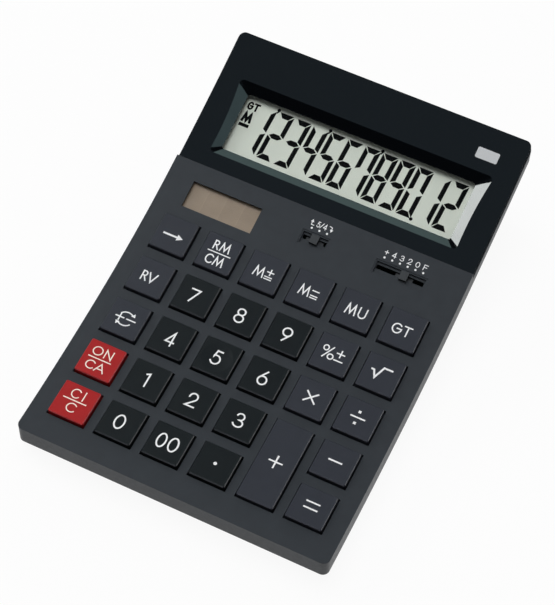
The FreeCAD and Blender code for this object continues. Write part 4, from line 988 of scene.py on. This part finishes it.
class SetStage(Finisher):
    """Camera, floor, sky and lights."""

    bl_idname = "calculator.set_stage"
    bl_label = "Studio"

    def execute(self, context):
        stage = bpy.context.scene.calculator_stage
        self.camera(stage)
        self.floor()
        self.sky(stage)
        self.lights(stage)
        bpy.context.scene.view_settings.view_transform = "Standard"
        return {"FINISHED"}

    def camera(self, stage):
        """Looks at the target from the two angles; right and up are turned by the roll."""
        az, el, roll = stage.azimuth, stage.elevation, stage.roll
        back = Vector((np.sin(az) * np.cos(el), -np.cos(az) * np.cos(el), np.sin(el)))
        level_right = Vector((np.cos(az), np.sin(az), 0))
        level_up = back.cross(level_right)
        right = level_right * np.cos(roll) + level_up * np.sin(roll)
        up = back.cross(right)
        data = bpy.data.cameras.new("camera")
        data.lens, data.sensor_width, data.sensor_fit = stage.lens, SENSOR_WIDTH, "AUTO"
        data.clip_start, data.clip_end = NEAREST, FARTHEST
        made = bpy.data.objects.new("camera", data)
        bpy.context.scene.collection.objects.link(made)
        made.matrix_world = (Matrix.Translation(Vector(stage.target) + back * stage.distance)
                             @ Matrix((right, up, back)).transposed().to_4x4())
        bpy.context.scene.camera = made

    def floor(self):
        """A wide white floor. Seen straight, in gloss or through clear parts it is mostly plain white, and
        the rest of it is lit, so that it keeps the object's shadow."""
        reach, low = FLOOR_REACH, PACKED_BOX[0].z - FLOOR_DROP
        corners = [(-reach, -reach, low), (reach, -reach, low), (reach, reach, low), (-reach, reach, low)]
        mesh = bpy.data.meshes.new("floor")
        mesh.from_pydata(corners, [], [(0, 1, 2, 3)])
        f = Finish(bpy.data.materials.new("floor_paper"), "ShaderNodeMixShader")
        white = f.tint(shade(244, 244, 244), f.spread(f.noise(size=0.05), 0.995, 1.005))
        f.feed(f.shader, "Fac", self.seen(f) * FLOOR_GLOW)
        f.feed(f.shader, 1, f.node("ShaderNodeBsdfDiffuse", inputs={"Color": white}))
        f.feed(f.shader, 2, f.node("ShaderNodeEmission", inputs={"Color": (1, 1, 1), "Strength": 1.0}))
        mesh.materials.append(f.out())
        made = bpy.data.objects.new("floor", mesh)
        bpy.context.scene.collection.objects.link(made)

    def seen(self, f):
        """1 for rays from the camera, from gloss and through clear parts."""
        rays = [f.node("ShaderNodeLightPath", output=name)
                for name in ("Is Camera Ray", "Is Glossy Ray", "Is Transmission Ray")]
        return (rays[0] + rays[1] + rays[2]).clamped()

    def sky(self, stage):
        """A bright ring halfway up, dim at the horizon, overhead and on the near side: the product of three
        smooth steps, two by height and one by how far the direction points to the far side."""
        world = bpy.data.worlds.new("studio")
        bpy.context.scene.world = world
        f = Finish(world, "ShaderNodeBackground", Color=(1, 1, 1))
        direction = f.node("ShaderNodeTexCoord", output="Generated")
        height = f.node("ShaderNodeSeparateXYZ", inputs={0: direction}, output="Z")
        away = f.node("ShaderNodeVectorMath", {"operation": "DOT_PRODUCT"}, {0: direction, 1: FAR_SIDE},
                      output="Value")

        def step(value, start, end, low, high):
            return f.node("ShaderNodeMapRange", {"interpolation_type": "SMOOTHSTEP"}, {
                "Value": value, "From Min": start, "From Max": end, "To Min": low, "To Max": high})

        f.set(Strength=step(height, *RING_RISE, stage.horizon, stage.sky)
              * step(height, *RING_FALL, 1.0, stage.zenith)
              * step(away, -SIDE_TURN, SIDE_TURN, stage.near_side, 1.0))
        f.out("ShaderNodeOutputWorld")

    def lights(self, stage):
        """Two lamps, and the cards that show in the edges, the panel and the bevels round its window."""
        low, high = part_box("display_panel")
        middle = (low + high) / 2
        right_bevel = Vector((high.x - BEVEL_IN, middle.y, middle.z))
        left_bevel = Vector((low.x + BEVEL_IN, middle.y, middle.z))
        front_bevel = Vector((0, low.y + BEVEL_UP, low.z + BEVEL_RISE))
        self.lamp("key_light", (-0.80, 0.25, 0.55), 2.5, (1.0, 1.0), stage.key_power)
        overhead = self.lamp("overhead", (-0.12, 0.10, 0.99), 2.0, (1.4, 1.4), stage.overhead_power)
        overhead.visible_glossy = False
        self.card("front_strip", (-0.22, -0.83, 0.46), (0.9, 0.26), power=FRONT_SHARE * stage.edge_power,
                  colour=(0.92, 0.92, 1))
        self.card("back_strip", (0.86, 0.46, 0.20), (0.9, 0.22), power=stage.edge_power)
        self.card("right_bevel_card", (-0.577, 0.095, 0.812), (0.13, 0.15), power=0.85,
                  aim=right_bevel, colour=(0.95, 1, 0.98))
        self.card("left_bevel_card", (0.182, 0.027, 0.983), (0.14, 0.12), power=0.065,
                  aim=left_bevel, colour=(0.65, 0.95, 1))
        self.card("front_bevel_card", (-0.22, 0.57, 0.79), (0.36, 0.13), power=0.25,
                  aim=front_bevel, colour=(0.69, 1, 0.99))
        self.card("panel_card", (-0.21, 0.0, 0.978), (0.36, 0.44), power=0.15,
                  aim=middle, colour=(0.63, 0.84, 1))

    def lamp(self, name, direction, distance, size, power, aim=Vector((0, 0, 0)), colour=(1, 1, 1)):
        """A rectangular softbox, so many metres from the point that it faces. Its width lies level."""
        data = bpy.data.lights.new(name, "AREA")
        data.shape, data.size, data.size_y, data.energy = "RECTANGLE", size[0], size[1], power
        data.color = colour
        made = bpy.data.objects.new(name, data)
        bpy.context.scene.collection.objects.link(made)
        away = Vector(direction).normalized()
        side = Vector((0, 0, 1)).cross(away).normalized()
        made.matrix_world = (Matrix.Translation(aim + away * distance)
                             @ Matrix((side, away.cross(side), away)).transposed().to_4x4())
        return made

    def card(self, name, direction, size, **light):
        """A lamp one metre away that shows in glossy reflections only."""
        self.lamp(name, direction, 1.0, size, **light).visible_diffuse = False


STEPS = (FinishCase, FinishKeys, PrintLegends, FinishDisplay, PrintScales, FinishSolarCell, AddBadge,
         FinishInside, SetStage)
SETTINGS = {"calculator_colours": CalculatorColours, "calculator_sizes": CalculatorSizes,
            "calculator_stage": CalculatorStage}


class CalculatorPanel(bpy.types.Panel):
    """Lists the steps and the settings."""

    bl_idname = "VIEW3D_PT_calculator"
    bl_label = "Desk calculator"
    bl_space_type = "VIEW_3D"
    bl_region_type = "UI"
    bl_category = "Calculator"

    def draw(self, context):
        for step in STEPS:
            self.layout.operator(step.bl_idname)
        for name, group in SETTINGS.items():
            box = self.layout.box()
            for field in group.__annotations__:
                box.prop(getattr(context.scene, name), field)


def register():
    """Registers the settings, steps and panel."""
    for cls in (*SETTINGS.values(), *STEPS, CalculatorPanel):
        bpy.utils.register_class(cls)
    for name, group in SETTINGS.items():
        setattr(bpy.types.Scene, name, bpy.props.PointerProperty(type=group))


def unregister():
    """Takes them away again."""
    for name in SETTINGS:
        delattr(bpy.types.Scene, name)
    for cls in (CalculatorPanel, *reversed(STEPS), *SETTINGS.values()):
        bpy.utils.unregister_class(cls)


def main():
    """Runs every step in order."""
    register()
    for step in STEPS:
        group, name = step.bl_idname.split(".")
        getattr(getattr(bpy.ops, group), name)()


if __name__ == "__main__":
    main()
